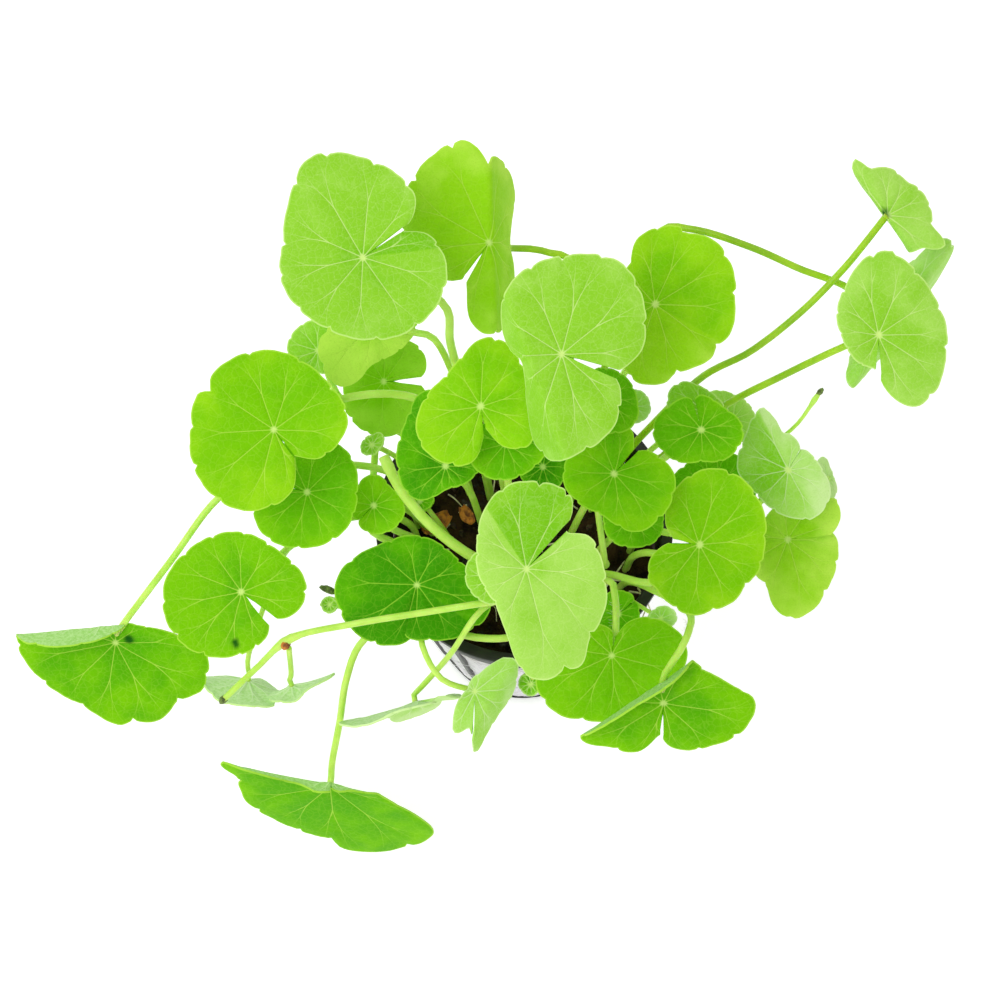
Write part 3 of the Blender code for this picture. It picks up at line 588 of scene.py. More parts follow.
def scattered(name, source, matrices, skin):
    """One object that holds a copy of the source mesh for each matrix. The source is removed."""
    corners = np.array([vertex.co for vertex in source.data.vertices])
    faces = [list(polygon.vertices) for polygon in source.data.polygons]
    points = []
    shells = []
    for k, matrix in enumerate(matrices):
        table = np.array(matrix)
        points.extend((corners @ table[:3, :3].T + table[:3, 3]).tolist())
        shells.extend([[v + k * len(corners) for v in face] for face in faces])
    mesh = bpy.data.meshes.new(name)
    mesh.from_pydata(points, [], shells)
    mesh.shade_smooth()
    mesh.materials.append(skin)
    piece = bpy.data.objects.new(name, mesh)
    scene.collection.objects.link(piece)
    bpy.data.objects.remove(source)
    return piece


def frame_at(place, along, size=(1.0, 1.0, 1.0), roll=0.0):
    """A matrix that stands a shape made along +Z at this place, pointing along, stretched by size."""
    turned = Vector(along).to_track_quat("Z", "Y").to_matrix().to_4x4()
    made = Matrix.Translation(Vector(place) * MM) @ turned @ Matrix.Rotation(roll, 4, "Z")
    return made @ Matrix.Diagonal((*size, 1.0))


def strand(thick, long, bow):
    """A thin closed strand along +Z with three sides, bowed sideways, its foot at the origin."""
    nothing()
    bpy.ops.mesh.primitive_cylinder_add(vertices=3, radius=thick * MM, depth=long * MM,
                                        location=(0.0, 0.0, long * MM / 2))
    piece = bpy.context.object
    bpy.ops.object.transform_apply(location=True)
    for height in (0.25, 0.5, 0.75):
        bpy.ops.object.mode_set(mode="EDIT")
        bpy.ops.mesh.select_all(action="SELECT")
        bpy.ops.mesh.bisect(plane_co=(0.0, 0.0, long * height * MM), plane_no=(0.0, 0.0, 1.0))
        bpy.ops.object.mode_set(mode="OBJECT")
    for vertex in piece.data.vertices:
        share = vertex.co.z / (long * MM)
        narrow = 1 - STRAND_TAPER * share
        vertex.co.x = vertex.co.x * narrow + bow * MM * 4 * share * (1 - share)
        vertex.co.y *= narrow
    return piece


chance = random.Random(7)
lying = []
for _ in range(FIBRES):
    angle = chance.uniform(0, 2 * math.pi)
    level = chance.uniform(FIBRE_LOWEST, WOOL_TOP - 1)
    radius = wool_radius(level) + FIBRE_OUT
    out = Vector((math.cos(angle), math.sin(angle), 0.0))
    across = Vector((-out.y, out.x, 0.0))
    slant = Vector((0, 0, chance.uniform(-0.7, 0.7)))
    along = across * chance.choice((-1, 1)) + slant + out * chance.uniform(0, 0.06)
    place = radius * out + Vector((0, 0, level))
    lying.append(frame_at(place, along, (1, 1, chance.uniform(0.5, 1.4)), chance.uniform(0, 6.3)))
fibres = scattered("wool_fibres", strand(0.05, 3.2, 0.25), lying, WOOL)
hand_over(fibres, "rock_wool")

# %% [markdown]
# ## Stalks
# A stalk is a round rod that rises, bends and thins a little towards its blade. Extruding a ring along
# it by hand takes a turn for each bend, so a curve is used: it is laid through a few points, given
# a round bevel, and converted to a mesh.

# %% Curves through points
STALK_ROUND = 3
STALK_STEP = 1.6
KNOT_WIDTH = 0.025
FOOT_Z = 40.6
ROOTED_Z = FOOT_Z - 1.2
RIM_CROSSING = 50.6
OVER_LIP = 25.5
INSIDE_LIP = 21.5
DOWN_INSIDE = 18.6
ROOTED_RADIUS = 17.6


def smooth_path(points, count):
    """A curve through all the points, walked in equal steps of its length."""
    points = [Vector(p) for p in points]
    ends = [2 * points[0] - points[1], *points, 2 * points[-1] - points[-2]]
    fine = []
    for k in range(1, len(ends) - 2):
        a, b, c, d = ends[k - 1 : k + 3]
        for step in range(16):
            t = step / 16
            bend = (2 * a - 5 * b + 4 * c - d) * t * t
            twist = (3 * b - a - 3 * c + d) * t * t * t
            fine.append(0.5 * (2 * b + (c - a) * t + bend + twist))
    fine.append(points[-1])
    total = sum((q - p).length for p, q in zip(fine, fine[1:]))
    made = [fine[0]]
    walked = 0.0
    for p, q in zip(fine, fine[1:]):
        walked += (q - p).length
        if walked >= total * len(made) / count and len(made) < count:
            made.append(q)
    made.append(fine[-1])
    return made


def rod(name, points, radii, skin, count=None, swell_at=()):
    """A closed round rod along the points. swell_at lists knots: (share of the length, extra radius)."""
    length = sum((Vector(q) - Vector(p)).length for p, q in zip(points, points[1:]))
    path = smooth_path(points, count or max(8, round(length / STALK_STEP)))
    nothing()
    bpy.ops.curve.primitive_bezier_curve_add()
    piece = bpy.context.object
    piece.name = name
    curve = piece.data
    curve.splines.clear()
    line = curve.splines.new("POLY")
    line.points.add(len(path) - 1)
    for k, (spot, place) in enumerate(zip(line.points, path)):
        share = k / (len(path) - 1)
        knot = sum(extra * math.exp(-(((share - at) / KNOT_WIDTH) ** 2)) for at, extra in swell_at)
        spot.co = (*(place * MM), 1.0)
        spot.radius = radii[0] * (1 - share) + radii[1] * share + knot
    curve.dimensions = "3D"
    curve.bevel_depth = MM
    curve.bevel_resolution = STALK_ROUND
    curve.use_fill_caps = True
    bpy.ops.object.convert(target="MESH")
    piece = bpy.context.object
    piece.data.materials.clear()
    piece.data.materials.append(skin)
    bpy.ops.object.shade_smooth_by_angle(angle=math.radians(50))
    return piece


def over_rim(angle, low=RIM_CROSSING):
    """Three points that carry a stalk over the pot's rim and down into it at this angle."""
    turn = math.radians(angle)
    steps = ((OVER_LIP, low), (INSIDE_LIP, low), (DOWN_INSIDE, low - 4))
    return [(r * math.cos(turn), r * math.sin(turn), z) for r, z in steps]


def inside_rim(angle):
    """Where a stalk that came over the rim at this angle goes into the wool."""
    turn = math.radians(angle)
    return (ROOTED_RADIUS * math.cos(turn), ROOTED_RADIUS * math.sin(turn))


print("a stalk crosses the rim at", [round(v, 1) for v in over_rim(270)[0]])


# %% [markdown]
# ## Leaf blades
# Every blade is nearly round, slit from the margin to the stalk, and scalloped: shallow arcs with a sharp
# nick between them. A flat grid already has the right make-up. Its rows become rings round the stalk,
# its columns become rays, and its left and right sides become the two sides of the slit. So a grid is added,
# its points are moved by the rules below, the row that has shrunk to a point is merged, and
# the sheet gets a thickness. The grid's own coordinates stay with it and carry the veins.

# %% Rules of a blade
BLADE = 0.34
COLUMNS_PER_MM = 14
ROWS_PER_MM = 1.3
LOBE_LIFT = 1.3
LIP_LIFT = 0.35
LIP_WIDTH = 5.6
FOLD_ROUND = 0.8
SLIT_START = 0.7
SLIT_OPENS = 2.2
PITCH_AT_HUB = 0.4
ARC = 0.088
ARC_DEPTH = 0.022
ARC_WAVE = 0.006
NICK_STRAY = 0.2
NICK_DEPTH = (0.008, 0.03)
CORNER = 0.12
CORNER_ANGLE = 16
WAVE = 0.35
FURROW = 0.11
FURROW_WIDTH = 0.3
PILLOW = 0.13
PILLOW_WIDTH = 1.5
CURL = 0.3
CURL_FROM = 0.88
DIP = 0.3
DIP_WIDTH = 1.3
WEDGE_SOFT = 10.0
COMPASS = (0, 45, 90, 135, 180, 225, 270, 315)


def around(marks, angles):
    """The margin's values at the angles: a smooth closed line through marks of (angle, value)."""
    turns = np.array([mark[0] for mark in marks], float)
    values = np.array([mark[1] for mark in marks], float)
    turns = np.concatenate([turns + 360 * k for k in (-2, -1, 0, 1, 2)])
    values = np.tile(values, 5)
    slopes = (values[2:] - values[:-2]) / (turns[2:] - turns[:-2])
    turns, values = turns[1:-1], values[1:-1]
    k = np.searchsorted(turns, angles, side="right") - 1
    span = turns[k + 1] - turns[k]
    t = (angles - turns[k]) / span
    start = (1 + 2 * t) * (1 - t) ** 2 * values[k] + t * (1 - t) ** 2 * slopes[k] * span
    return start + t * t * (3 - 2 * t) * values[k + 1] + t * t * (t - 1) * slopes[k + 1] * span


def scallops(known, columns, seed):
    """The share of the reach that the margin keeps at each column: arcs with a sharp nick between them.
    known lists where nicks are, as shares of the way round. Longer stretches between them get more."""
    dice = random.Random(seed)
    marks = [0.0, *sorted(known), 1.0]
    nicks = [0]
    for low, high in zip(marks, marks[1:]):
        arcs = max(1, round((high - low) / ARC))
        for k in range(1, arcs + 1):
            stray = dice.uniform(-NICK_STRAY, NICK_STRAY) if k < arcs else 0.0
            nicks.append(round(columns * (low + (high - low) * (k + stray) / arcs)))
    kept = np.ones(columns + 1)
    for low, high in zip(nicks, nicks[1:]):
        if high - low < 2:
            continue
        f = (np.arange(low, high + 1) - low) / (high - low)
        arc = 1 - ARC_DEPTH * (2 * f - 1) ** 4 + ARC_WAVE * np.sin(2 * math.pi * f * 2)
        kept[low : high + 1] = np.minimum(kept[low : high + 1], arc)
    for nick in nicks[1:-1]:
        kept[nick] -= dice.uniform(*NICK_DEPTH)
    return kept


def folded(x, y, z, folds):
    """Bends what lies to the left of each fold line down or up. A fold is (direction of the line,
    degrees, distance of the line from the stalk)."""
    for line, degrees, away in folds:
        turn = math.radians(line)
        ax, ay = -math.sin(turn), math.cos(turn)
        past = np.maximum(x * ax + y * ay - away, 0.0)
        whole = abs(math.radians(degrees))
        bent = np.minimum(past / FOLD_ROUND, whole)
        straight = np.maximum(past - whole * FOLD_ROUND, 0.0)
        flat = FOLD_ROUND * np.sin(bent) + straight * np.cos(bent)
        rise = FOLD_ROUND * (1 - np.cos(bent)) + straight * np.sin(bent)
        x = x + (flat - past) * ax
        y = y + (flat - past) * ay
        z = z + math.copysign(1, degrees) * rise
    return x, y, z


def blade_axes(lean):
    """Right, back and up directions of a leaf that leans by lean[0] degrees towards the heading lean[1]."""
    tilt, heading = (math.radians(v) for v in lean)
    level = math.sin(tilt)
    up = Vector((level * math.cos(heading), level * math.sin(heading), math.cos(tilt)))
    right = (Vector((1, 0, 0)) - up.x * up).normalized()
    return right, up.cross(right), up


def smooth(x):
    """Goes smoothly from 0 to 1 while x does."""
    x = np.clip(x, 0.0, 1.0)
    return x * x * (3 - 2 * x)


print("a plain margin keeps", round(float(scallops([], 100, 1).mean()), 3), "of its reach")


def blade(hub, lean, rim, pitches, notch, gap, folds, nicks, tone, wedges, spots, seed):
    """One leaf blade. The numbers are those of leaf() below, in the same units. On the grid, u goes from 0 to
    1 round the blade and t from 0 at the stalk to 1 at the margin. r is the distance from the stalk."""
    size = float(np.mean([mark[1] for mark in rim]))
    columns = int(min(max(round(size * COLUMNS_PER_MM), 72), 176))
    rows = int(min(max(round(size * ROWS_PER_MM), 8), 16))
    nothing()
    bpy.ops.mesh.primitive_grid_add(x_subdivisions=columns, y_subdivisions=rows, size=1.0)
    sheet = bpy.context.object
    count = len(sheet.data.vertices)
    flat = np.empty(3 * count)
    sheet.data.vertices.foreach_get("co", flat)
    u = flat[0::3] + 0.5
    t = flat[1::3] + 0.5
    open_angle = notch + gap / 2 + (360 - gap) * u
    known = [((nick - notch - gap / 2) % 360) / (360 - gap) for nick in nicks]
    kept = scallops([share for share in known if 0.02 < share < 0.98], columns, seed)
    reach = around(rim, open_angle) * np.interp(u * columns, np.arange(columns + 1), kept)
    from_slit = np.minimum(u, 1 - u) * (360 - gap)
    reach = reach * (1 - CORNER * np.maximum(1 - from_slit / CORNER_ANGLE, 0.0) ** 2)
    r = t * reach
    opened = smooth((r - SLIT_START) / SLIT_OPENS)
    angle = np.radians(notch + (open_angle - notch) * opened + 360 * u * (1 - opened))
    pitch = np.radians(around(pitches, open_angle)) * (PITCH_AT_HUB + (1 - PITCH_AT_HUB) * t)
    near = np.maximum(0, 1 - u * LIP_WIDTH) - np.maximum(0, 1 - (1 - u) * LIP_WIDTH)
    lift = (LOBE_LIFT if gap < 0 else LIP_LIFT) * t * near * opened
    phase = seed * 1.7
    ripple = WAVE * t**2 * (np.sin(3 * angle + phase) + 0.6 * np.sin(5 * angle + 2 * phase) * t)
    away = vein_distance(u, t, reach, seed, np.floor, np.sin, np.maximum)
    furrow = -FURROW * np.exp(-((away / FURROW_WIDTH) ** 2)) * smooth(r / 1.5) * (1 - 0.7 * t)
    pillow = PILLOW * np.minimum(away, PILLOW_WIDTH) * (1 - t) * t * 4 / PILLOW_WIDTH
    curl = -CURL * np.maximum(t - CURL_FROM, 0.0) / (1 - CURL_FROM) * min(size / 10, 1.0)
    dip = -DIP * np.exp(-((r / DIP_WIDTH) ** 2))
    z = r * np.sin(pitch) + lift + ripple + furrow + pillow + curl + dip - dip.min() - DIP
    x, y, z = folded(r * np.cos(pitch) * np.cos(angle), r * np.cos(pitch) * np.sin(angle), z, folds)
    right, back, up = (np.array(axis) for axis in blade_axes(lean))
    placed = np.array(hub) + np.outer(x, right) + np.outer(y, back) + np.outer(z, up)
    sheet.data.vertices.foreach_set("co", (placed * MM).ravel())
    stain = np.zeros(count)
    for at, far, broad in spots:
        sx, sy = far * math.cos(math.radians(at)), far * math.sin(math.radians(at))
        gone = np.hypot(r * np.cos(angle) - sx, r * np.sin(angle) - sy) / broad
        stain = np.maximum(stain, 1 - smooth(gone * 1.4 - 0.6))
    # Wedges add painted light to the tone: a sector is painted darker as shade where another lobe lies
    # beneath it, or lighter as a sheen.
    tones = np.full(count, float(tone))
    for low, high, change in wedges:
        past = (np.degrees(angle) - low) % 360
        wide = (high - low) % 360
        soft = WEDGE_SOFT / np.maximum(r, 0.5)
        tones += change * np.clip(past / soft, 0, 1) * np.clip((wide - past) / soft, 0, 1)
    carried = (("reach", reach), ("seed", np.full(count, seed)), ("tone", tones), ("spot", stain))
    for label, values in carried:
        sheet.data.attributes.new(label, "FLOAT", "POINT").data.foreach_set("value", values)
    sheet.data.update()
    bpy.ops.object.mode_set(mode="EDIT")
    bpy.ops.mesh.select_all(action="SELECT")
    bpy.ops.mesh.remove_doubles(threshold=0.004 * MM)
    bpy.ops.mesh.flip_normals()
    bpy.ops.object.mode_set(mode="OBJECT")
    return sheet


# %% [markdown]
# Now the whole leaf. `leaf` takes the place of the point where stalk and blade meet, the way the
# blade leans, its reach in eight directions or at chosen marks, the direction of its notch, and the
# points that its stalk passes on the way down into the pot. The stalk's top is buried in the blade
# and the two are joined, because a leaf grows as one piece.

# %% A leaf on its stalk
SLIM = 0.85
STALK_BURIED = 0.42
STALK_STRAIGHT = 1.5
STALK_FLARE = 1.12
leaf_count = 0


def leaf(name, hub, lean, reach, notch, via, foot, look, gap=4, folds=(), pitch=0, thick=0.65,
         nicks=(), tone=0.0, wedges=(), spots=(), bark=STALK):
    """A round blade on its own stalk. All lengths are in mm and all angles in degrees. A mark of reach is
    (direction, distance) or (direction, distance, pitch), gap is how far the notch stands open and less
    than 0 where its lobes overlap, and a fold is as in folded(). nicks are directions, tone makes the blade
    lighter as it rises, partly in its own green and partly as painted light and shade, a wedge is (from, to,
    change of tone) and paints a sector darker as shade or lighter as sheen, a spot is (direction, distance,
    size), and bark is the stalk's skin."""
    global leaf_count
    leaf_count += 1
    if isinstance(reach[0], tuple):
        rim = [mark[:2] for mark in reach]
        pitches = [(mark[0], mark[2] if len(mark) > 2 else pitch) for mark in reach]
    else:
        rim = list(zip(COMPASS, reach))
        pitches = [(turn, pitch) for turn in COMPASS]
    slot, upper, under = look
    piece = blade(hub, lean, rim, pitches, notch, gap, folds, nicks, tone, wedges, spots, leaf_count)
    piece.name = name + "_grown"
    piece.data.materials.append(upper)
    piece.data.materials.append(under)
    skin = piece.modifiers.new("blade", "SOLIDIFY")
    skin.thickness = BLADE * MM
    skin.offset = 0.0
    skin.material_offset = 1
    apply_modifiers(piece)
    bpy.ops.object.shade_smooth_by_angle(angle=math.radians(60))
    up = blade_axes(lean)[2]
    top = Vector(hub)
    last = Vector(foot) if len(foot) == 3 else Vector((*foot, ROOTED_Z))
    path = [top - STALK_BURIED * up, top - STALK_STRAIGHT * up, *via, last]
    stalk = rod("stalk", path, (thick * SLIM, thick * SLIM * STALK_FLARE), bark)
    stalk.select_set(True)
    piece.select_set(True)
    bpy.context.view_layer.objects.active = piece
    bpy.ops.object.join()
    hand_over(piece, slot, name)


# %% [markdown]
# ## The leaves, group by group
# The tallest leaves spread over the top of the clump. The hub and the stalk's points are those of the solid
# that each leaf replaces. A nick is named by its direction where the margin has a clear one, a wedge is a
# sector of the blade painted darker as shade where another lobe lies beneath it, or lighter as a sheen, and a
# spot is a blemish.

# %% Tall leaves at the top of the clump
# The wedge by the notch is painted shade, where the lower lobe dips beneath the upper one.
leaf("leaf_01_tall_left", (-24.5, 22.2, 100), (20, 268),
     ((0, 12.3), (18, 10.6), (32, 8.3), (38, 10.4), (51, 12.3), (90, 15), (113, 16.8), (123, 16.5),
      (142, 14), (169, 12.3), (196, 12.7), (243, 12.1), (307, 13.2), (340, 13.3)), 35,
     [(-12.9, 19.2, 91), (-11.6, 16.2, 82), (-9.1, 12.5, 66), (-6.8, 9, 52)], (-5.5, 7.5), LIGHT,
     gap=3, pitch=4, thick=0.75,
     nicks=(58, 83, 110, 131, 171, 220, 245, 308, 338), wedges=((6, 34, -0.5),))
leaf("leaf_02_tall_middle", (-5.7, 29.8, 90), (24, 275),
     ((0, 7.3), (24, 8.8), (40, 12.6), (55, 13.8), (85, 13.4), (91, 12.5), (98, 15), (106, 16.3),
      (125, 15.9), (140, 15.4), (180, 13), (225, 8.5), (245, 8.5), (257, 12.4), (273, 14.2),
      (335, 9.6)), 237,
     [(-3.6, 33, 81.5), (-1.9, 34.9, 78), (3.2, 34.8, 77), (8, 33, 73.5), (7, 20, 60)], (4.5, 13),
     GREEN, gap=7, folds=((272, -65, 0),), tone=0.6, nicks=(91, 112, 140), bark=RIPE)
leaf("leaf_03_top_centre", (4.9, 3.6, 106), (22, 272),
     ((5, 11.9), (27, 13.7), (57, 15.8), (85, 14.5), (120, 13.1), (132, 12.2), (160, 12.2),
      (180, 11.3), (189, 7.8), (208, 8.4), (223, 11.8), (240, 17.5), (274, 15.2), (307, 12.9),
      (328, 10.5), (350, 10.2)), 340,
     [(4.5, 8, 90), (2.5, 10.5, 72), (0.5, 7, 52)], (0.5, 5), LIGHT,
     gap=9, folds=((110, -70, 4),), thick=0.75, tone=0.05, nicks=(21, 44, 68, 89, 137, 181, 317))
# The wedge paints a sheen on the front right of the blade.
leaf("leaf_04_top_right", (19.4, 17.4, 94), (19, 265),
     ((0, 12.1, 3), (30, 13), (47, 13.1, 5), (65, 12), (73, 12.4), (90, 11.7, -4), (105, 10.3),
      (124, 7.1), (180, 7.5, -5), (225, 8.5, 4), (254, 12), (276, 12, -3), (288, 11), (315, 11.8, 5),
      (326, 11.4), (340, 12.2)), 190, [(16, 14.5, 78), (10, 10.5, 60)], (8, 8), GREEN,
     tone=0.25, nicks=(7, 36, 70, 88, 287, 326), wedges=((235, 330, 0.25),))
leaf("leaf_05_far_right_folded", (55.6, 33.5, 92), (20, 285),
     ((0, 6.9), (45, 6.4), (60, 6.1), (85, 7.2), (114, 8), (121, 10), (138, 7.5), (180, 6.5),
      (270, 6.5), (314, 7.2), (332, 10), (345, 7.3)), 225,
     [(52, 29.9, 89), (48.6, 26.3, 87), (42.7, 21.4, 83), (35.2, 17, 78), (27.7, 15.1, 72), (20, 13, 56),
      (16.3, 11.3, 48)], (14.8, 10.2), LIGHT, gap=6, folds=((126, -105, -0.6),),
     tone=0.4, nicks=(40, 78), spots=((150, 0.5, 0.8),), bark=RIPE)
leaf("leaf_06_far_right", (53.7, 15.1, 88), (24, 262),
     ((5, 10.4), (40, 10.4), (74, 12.2), (80, 12.9), (97, 12.2), (122, 9.2), (157, 6.9), (186, 5.5),
      (237, 5.2), (262, 5.5), (277, 8.8), (297, 12.3), (316, 12.2), (337, 11)), 270,
     [(49.1, 15.1, 84), (39.8, 13.1, 77), (30.8, 10.7, 70), (22, 8, 56)], (14, 5), LIGHT, gap=8,
     tone=0.2, nicks=(23, 60, 77, 95, 310), bark=RIPE)
leaf("leaf_07_far_right_back", (57.4, 21.5, 80), (22, 270),
     ((2, 11), (53, 15.3), (82, 10.5), (130, 9), (180, 8), (220, 9.5), (238, 12.5), (264, 9), (315, 8)), 150,
     [(49.9, 26.2, 82), (42.8, 28.2, 84), (35, 31, 86), (26.1, 34.1, 86), (20.5, 35, 82), (15.3, 28, 66)],
     (9, 14), PALE, folds=((55, -66, 0.5), (235, -76, 0.2)), bark=RIPE)

# %% [markdown]
# ## The left side
# The leaves at the left lean out over the rim. The far left one and the one that hangs in front are bent
# back on themselves, so a fold line turns their rear part up and shows its pale underside as a strip.

# %% Left side
leaf("leaf_08_left_big", (-38.7, 2.8, 80), (23, 268),
     ((0, 11.2), (12, 11.7), (45, 11.1), (90, 12.2), (112, 12.6), (140, 12.6), (148, 11.8),
      (155, 12.9), (180, 12.9), (208, 13.7), (243, 13.6), (268, 11.9), (286, 9.9), (300, 6.8),
      (313, 6), (330, 8.5)), 307,
     [(-27.9, 10.8, 74), (-17.3, 12, 71), (-11.5, 10, 60)], (-9, 8.5), GREEN, gap=5, pitch=3, thick=0.75,
     tone=0.08, nicks=(69, 108, 148, 205), wedges=((252, 306, 0.2),))
leaf("leaf_09_left_under", (-34.3, -2.3, 67), (20, 275), (8, 9, 8.5, 8.5, 8.5, 9.6, 8.8, 8.5), 165,
     [(-30, -1.2, 60.5), (-24, 0.6, 57.5), (-18.8, 1.2, 50)], (-14.9, 1), DARK, gap=3, pitch=3,
     tone=0.12, nicks=(299,))
leaf("leaf_10_lower_left", (-45, -15.7, 58), (24, 260), (10.5, 9, 9.5, 10.5, 12.5, 12.5, 10, 8), 317,
     [(-41.4, -11.4, 56.5), (-38, -7.4, 55.5), (-33.5, -3.6, 54.5), (-28.5, -1.2, 53), *over_rim(180)],
     inside_rim(180), GREEN, gap=15, pitch=2,
     tone=-0.15, nicks=(1, 29, 147, 187, 213, 269, 286), spots=((264, 8.2, 0.8),))
leaf("leaf_11_far_left", (-66.5, -19.5, 44), (47, 270),
     ((8, 10.2), (28, 6.4), (48, 4.6), (90, 6), (120, 9), (150, 13), (165, 15.5), (179, 16.1),
      (208, 14.7), (242, 13.2), (270, 15.4), (279, 14.9), (292, 15.8), (312, 14.7), (326, 16.3),
      (342, 15.7), (353, 14.5)), 62,
     [(-65.5, -17.6, 46), (-56.7, -9.3, 55), (-49.4, -1, 60), (-42.3, 3.4, 61), (-29.8, 5.2, 60),
      (-23, 5.4, 57.5), (-18.4, 5.7, 50)], inside_rim(162), GREEN, folds=((5.5, 98, 2.6),),
     tone=-0.25, nicks=(241, 278, 312, 337), spots=((17, 2.4, 1.0),))
leaf("leaf_12_hanging_front", (-32.1, -39.1, 28), (74, 265),
     ((0, 7), (17, 4.5), (60, 4), (110, 4.2), (140, 5.5), (155, 11), (163, 16.5), (169, 18.4), (180, 15.8),
      (209, 16), (228, 15.6), (252, 16), (268, 17), (273, 19.6), (284, 21.6), (302, 22.6),
      (317, 22.2), (325, 20.6), (332, 16.5), (342, 11)), 78,
     [(-31.6, -35.4, 31), (-30.2, -30.8, 37), (-28.8, -25.8, 44.5), (-26, -21.4, 50.5), *over_rim(221)],
     inside_rim(221), GREEN, folds=((349, 65, 0.4),), tone=-0.35, nicks=(184, 215, 247, 268, 304))
leaf("leaf_13_left_small", (-24.1, -2.2, 61), (17, 280), (5, 4, 5, 4, 3.5, 4, 4.5, 5), 225,
     [(-22, -3.4, 55), (-17, -3.5, 48.5)], (-13, -3), DARK, tone=0.3)
# The wedge round the notch is painted shade, where the two lobes overlap.
leaf("leaf_14_left_rim", (-17.2, -14.2, 57), (14, 275),
     ((0, 11), (20, 8.5), (45, 7.5), (90, 8), (135, 9), (180, 13), (225, 12), (270, 9), (315, 11),
      (339, 12.3)), 262,
     [(-14, -11, 49)], (-11, -8.5), DARK, gap=-10,
     tone=-0.35, nicks=(121, 161), wedges=((205, 325, -0.3),))

# %% [markdown]
# ## The middle
# In the middle the blades overlap like shingles. The largest is pale, with a triangle of painted shade
# between two of its veins, for its other lobe, which in the real leaf runs on beneath it, and the front one
# on the right is folded up along a line, which shows its underside.

# %% Middle of the clump
# The wedge is painted shade for the right lobe, which in the real leaf runs on beneath the upper one.
leaf("leaf_15_centre_pale", (-0.2, -25.9, 96), (24, 270),
     ((4, 11.1), (26, 10.4), (40, 8.8), (51, 11.5), (60, 12.7), (92, 12.7), (107, 12.2), (134, 9.7),
      (160, 7.7), (224, 6.6), (243, 8.1), (256, 10.5), (267, 14.7), (278, 16.3), (292, 15.8),
      (300, 16.1), (310, 14), (333, 12.8)), 46,
     [(1.5, -22.5, 80), (2.2, -16, 60)], (1.6, -10.5), LIGHT, gap=6, thick=0.75,
     tone=0.42, nicks=(62, 82, 107, 292), wedges=((42, 124, -0.8),))
leaf("leaf_16_heart", (-6.9, 1.5, 92), (18, 264),
     ((0, 7.8), (45, 8.8), (74, 10.5), (90, 10.1), (110, 8), (140, 7), (172, 8.5), (200, 10.3),
      (216, 10.7), (250, 9.6), (266, 7.7), (273, 5.3), (287, 4), (300, 6.9), (322, 9.4)), 279,
     [(-7.4, 5.1, 84), (-5.3, 5.5, 72), (-3.5, 4, 55)], (-2.5, 2.5), GREEN, gap=10,
     tone=0.25, nicks=(172, 210))
leaf("leaf_17_star", (13.3, -5.3, 82), (20, 280),
     ((6, 8.7), (34, 6.4), (56, 5.6), (67, 7), (90, 7.6), (140, 7.3), (190, 7.9), (214, 7.3),
      (255, 6.6), (290, 9.5), (304, 9.8), (353, 9.5)), 47,
     [(10, -2.5, 64)], (6.5, -1.5), DARK, gap=10, pitch=3, tone=0.2, nicks=(20, 278))
leaf("leaf_18_centre_right", (26.6, -13.8, 74), (23, 270),
     ((0, 10.1), (25, 11), (66, 12.2), (90, 11.4), (113, 9.4), (146, 6.3), (165, 4.7), (181, 6),
      (197, 8), (216, 9.6), (225, 9.5), (262, 10.9), (283, 10.3), (300, 10.2), (319, 9.5), (337, 10)),
      172,
     [(24.2, -15.2, 67), (19.6, -14.7, 59.5), (14, -10.8, 52.5), (11.3, -8.4, 46)], (10.5, -7.5), GREEN,
     gap=10, tone=0.12, nicks=(7, 42, 68, 97, 249, 282, 320), wedges=((150, 171, 0.5),))
leaf("leaf_19_front_right", (13.7, -25, 54), (22, 278),
     ((6, 12.1), (30, 10.2), (48, 8.2), (63, 5.8), (72, 3.8), (92, 4.3), (108, 5.1), (135, 7),
      (160, 8.2), (200, 12.8), (225, 12.7), (250, 11), (290, 10.3), (315, 10)), 82,
     [(14.2, -22.3, 53.6), (14.4, -19.6, 55.2), (14.2, -17, 58.5), (13.2, -13.5, 57)], (7.5, -8.5),
     GREEN, gap=10, tone=0.1)
leaf("leaf_20_front_folded", (21.5, -34.2, 58), (42, 262),
     ((5, 14.2), (18, 11.1), (45, 8.5), (90, 9.5), (120, 9), (150, 9.5), (180, 11.5), (208, 14.5),
      (222, 11.7), (245, 9.4), (260, 6.6), (276, 7.6), (298, 9), (320, 10.4), (340, 13)), 268,
     [(21.3, -31.4, 62), (22.6, -29.7, 65), (24.5, -27, 67.5), (25.4, -21.6, 65), (20.8, -14.5, 55),
      (17, -10.5, 48.5)], (15, -9), GREEN, gap=6, folds=((38, 82, 2.4),), tone=-0.2)

# %% [markdown]
# ## The right side
# At the right the leaves are smaller and more worn. The crumpled one draws out to a point at the back, so
# four of its marks carry a pitch of their own, the angle by which the margin rises there.

# %% Right side
leaf("leaf_21_right_outer", (41.7, -7.6, 60), (24, 255),
     ((8, 7.9, 6), (28, 9.5, 10), (41, 10.3, 14), (55, 8, 12), (90, 6.5, 10), (135, 5, 4), (180, 5.5),
      (229, 7.6), (247, 8.3), (257, 10.6), (272, 12.6, 4), (289, 11.9, 4), (312, 9.8, 4),
      (345, 8.3, 5)), 9,
     [(33, -7.8, 55.2), *over_rim(343)], inside_rim(343), GREEN, gap=-4, tone=0.75)
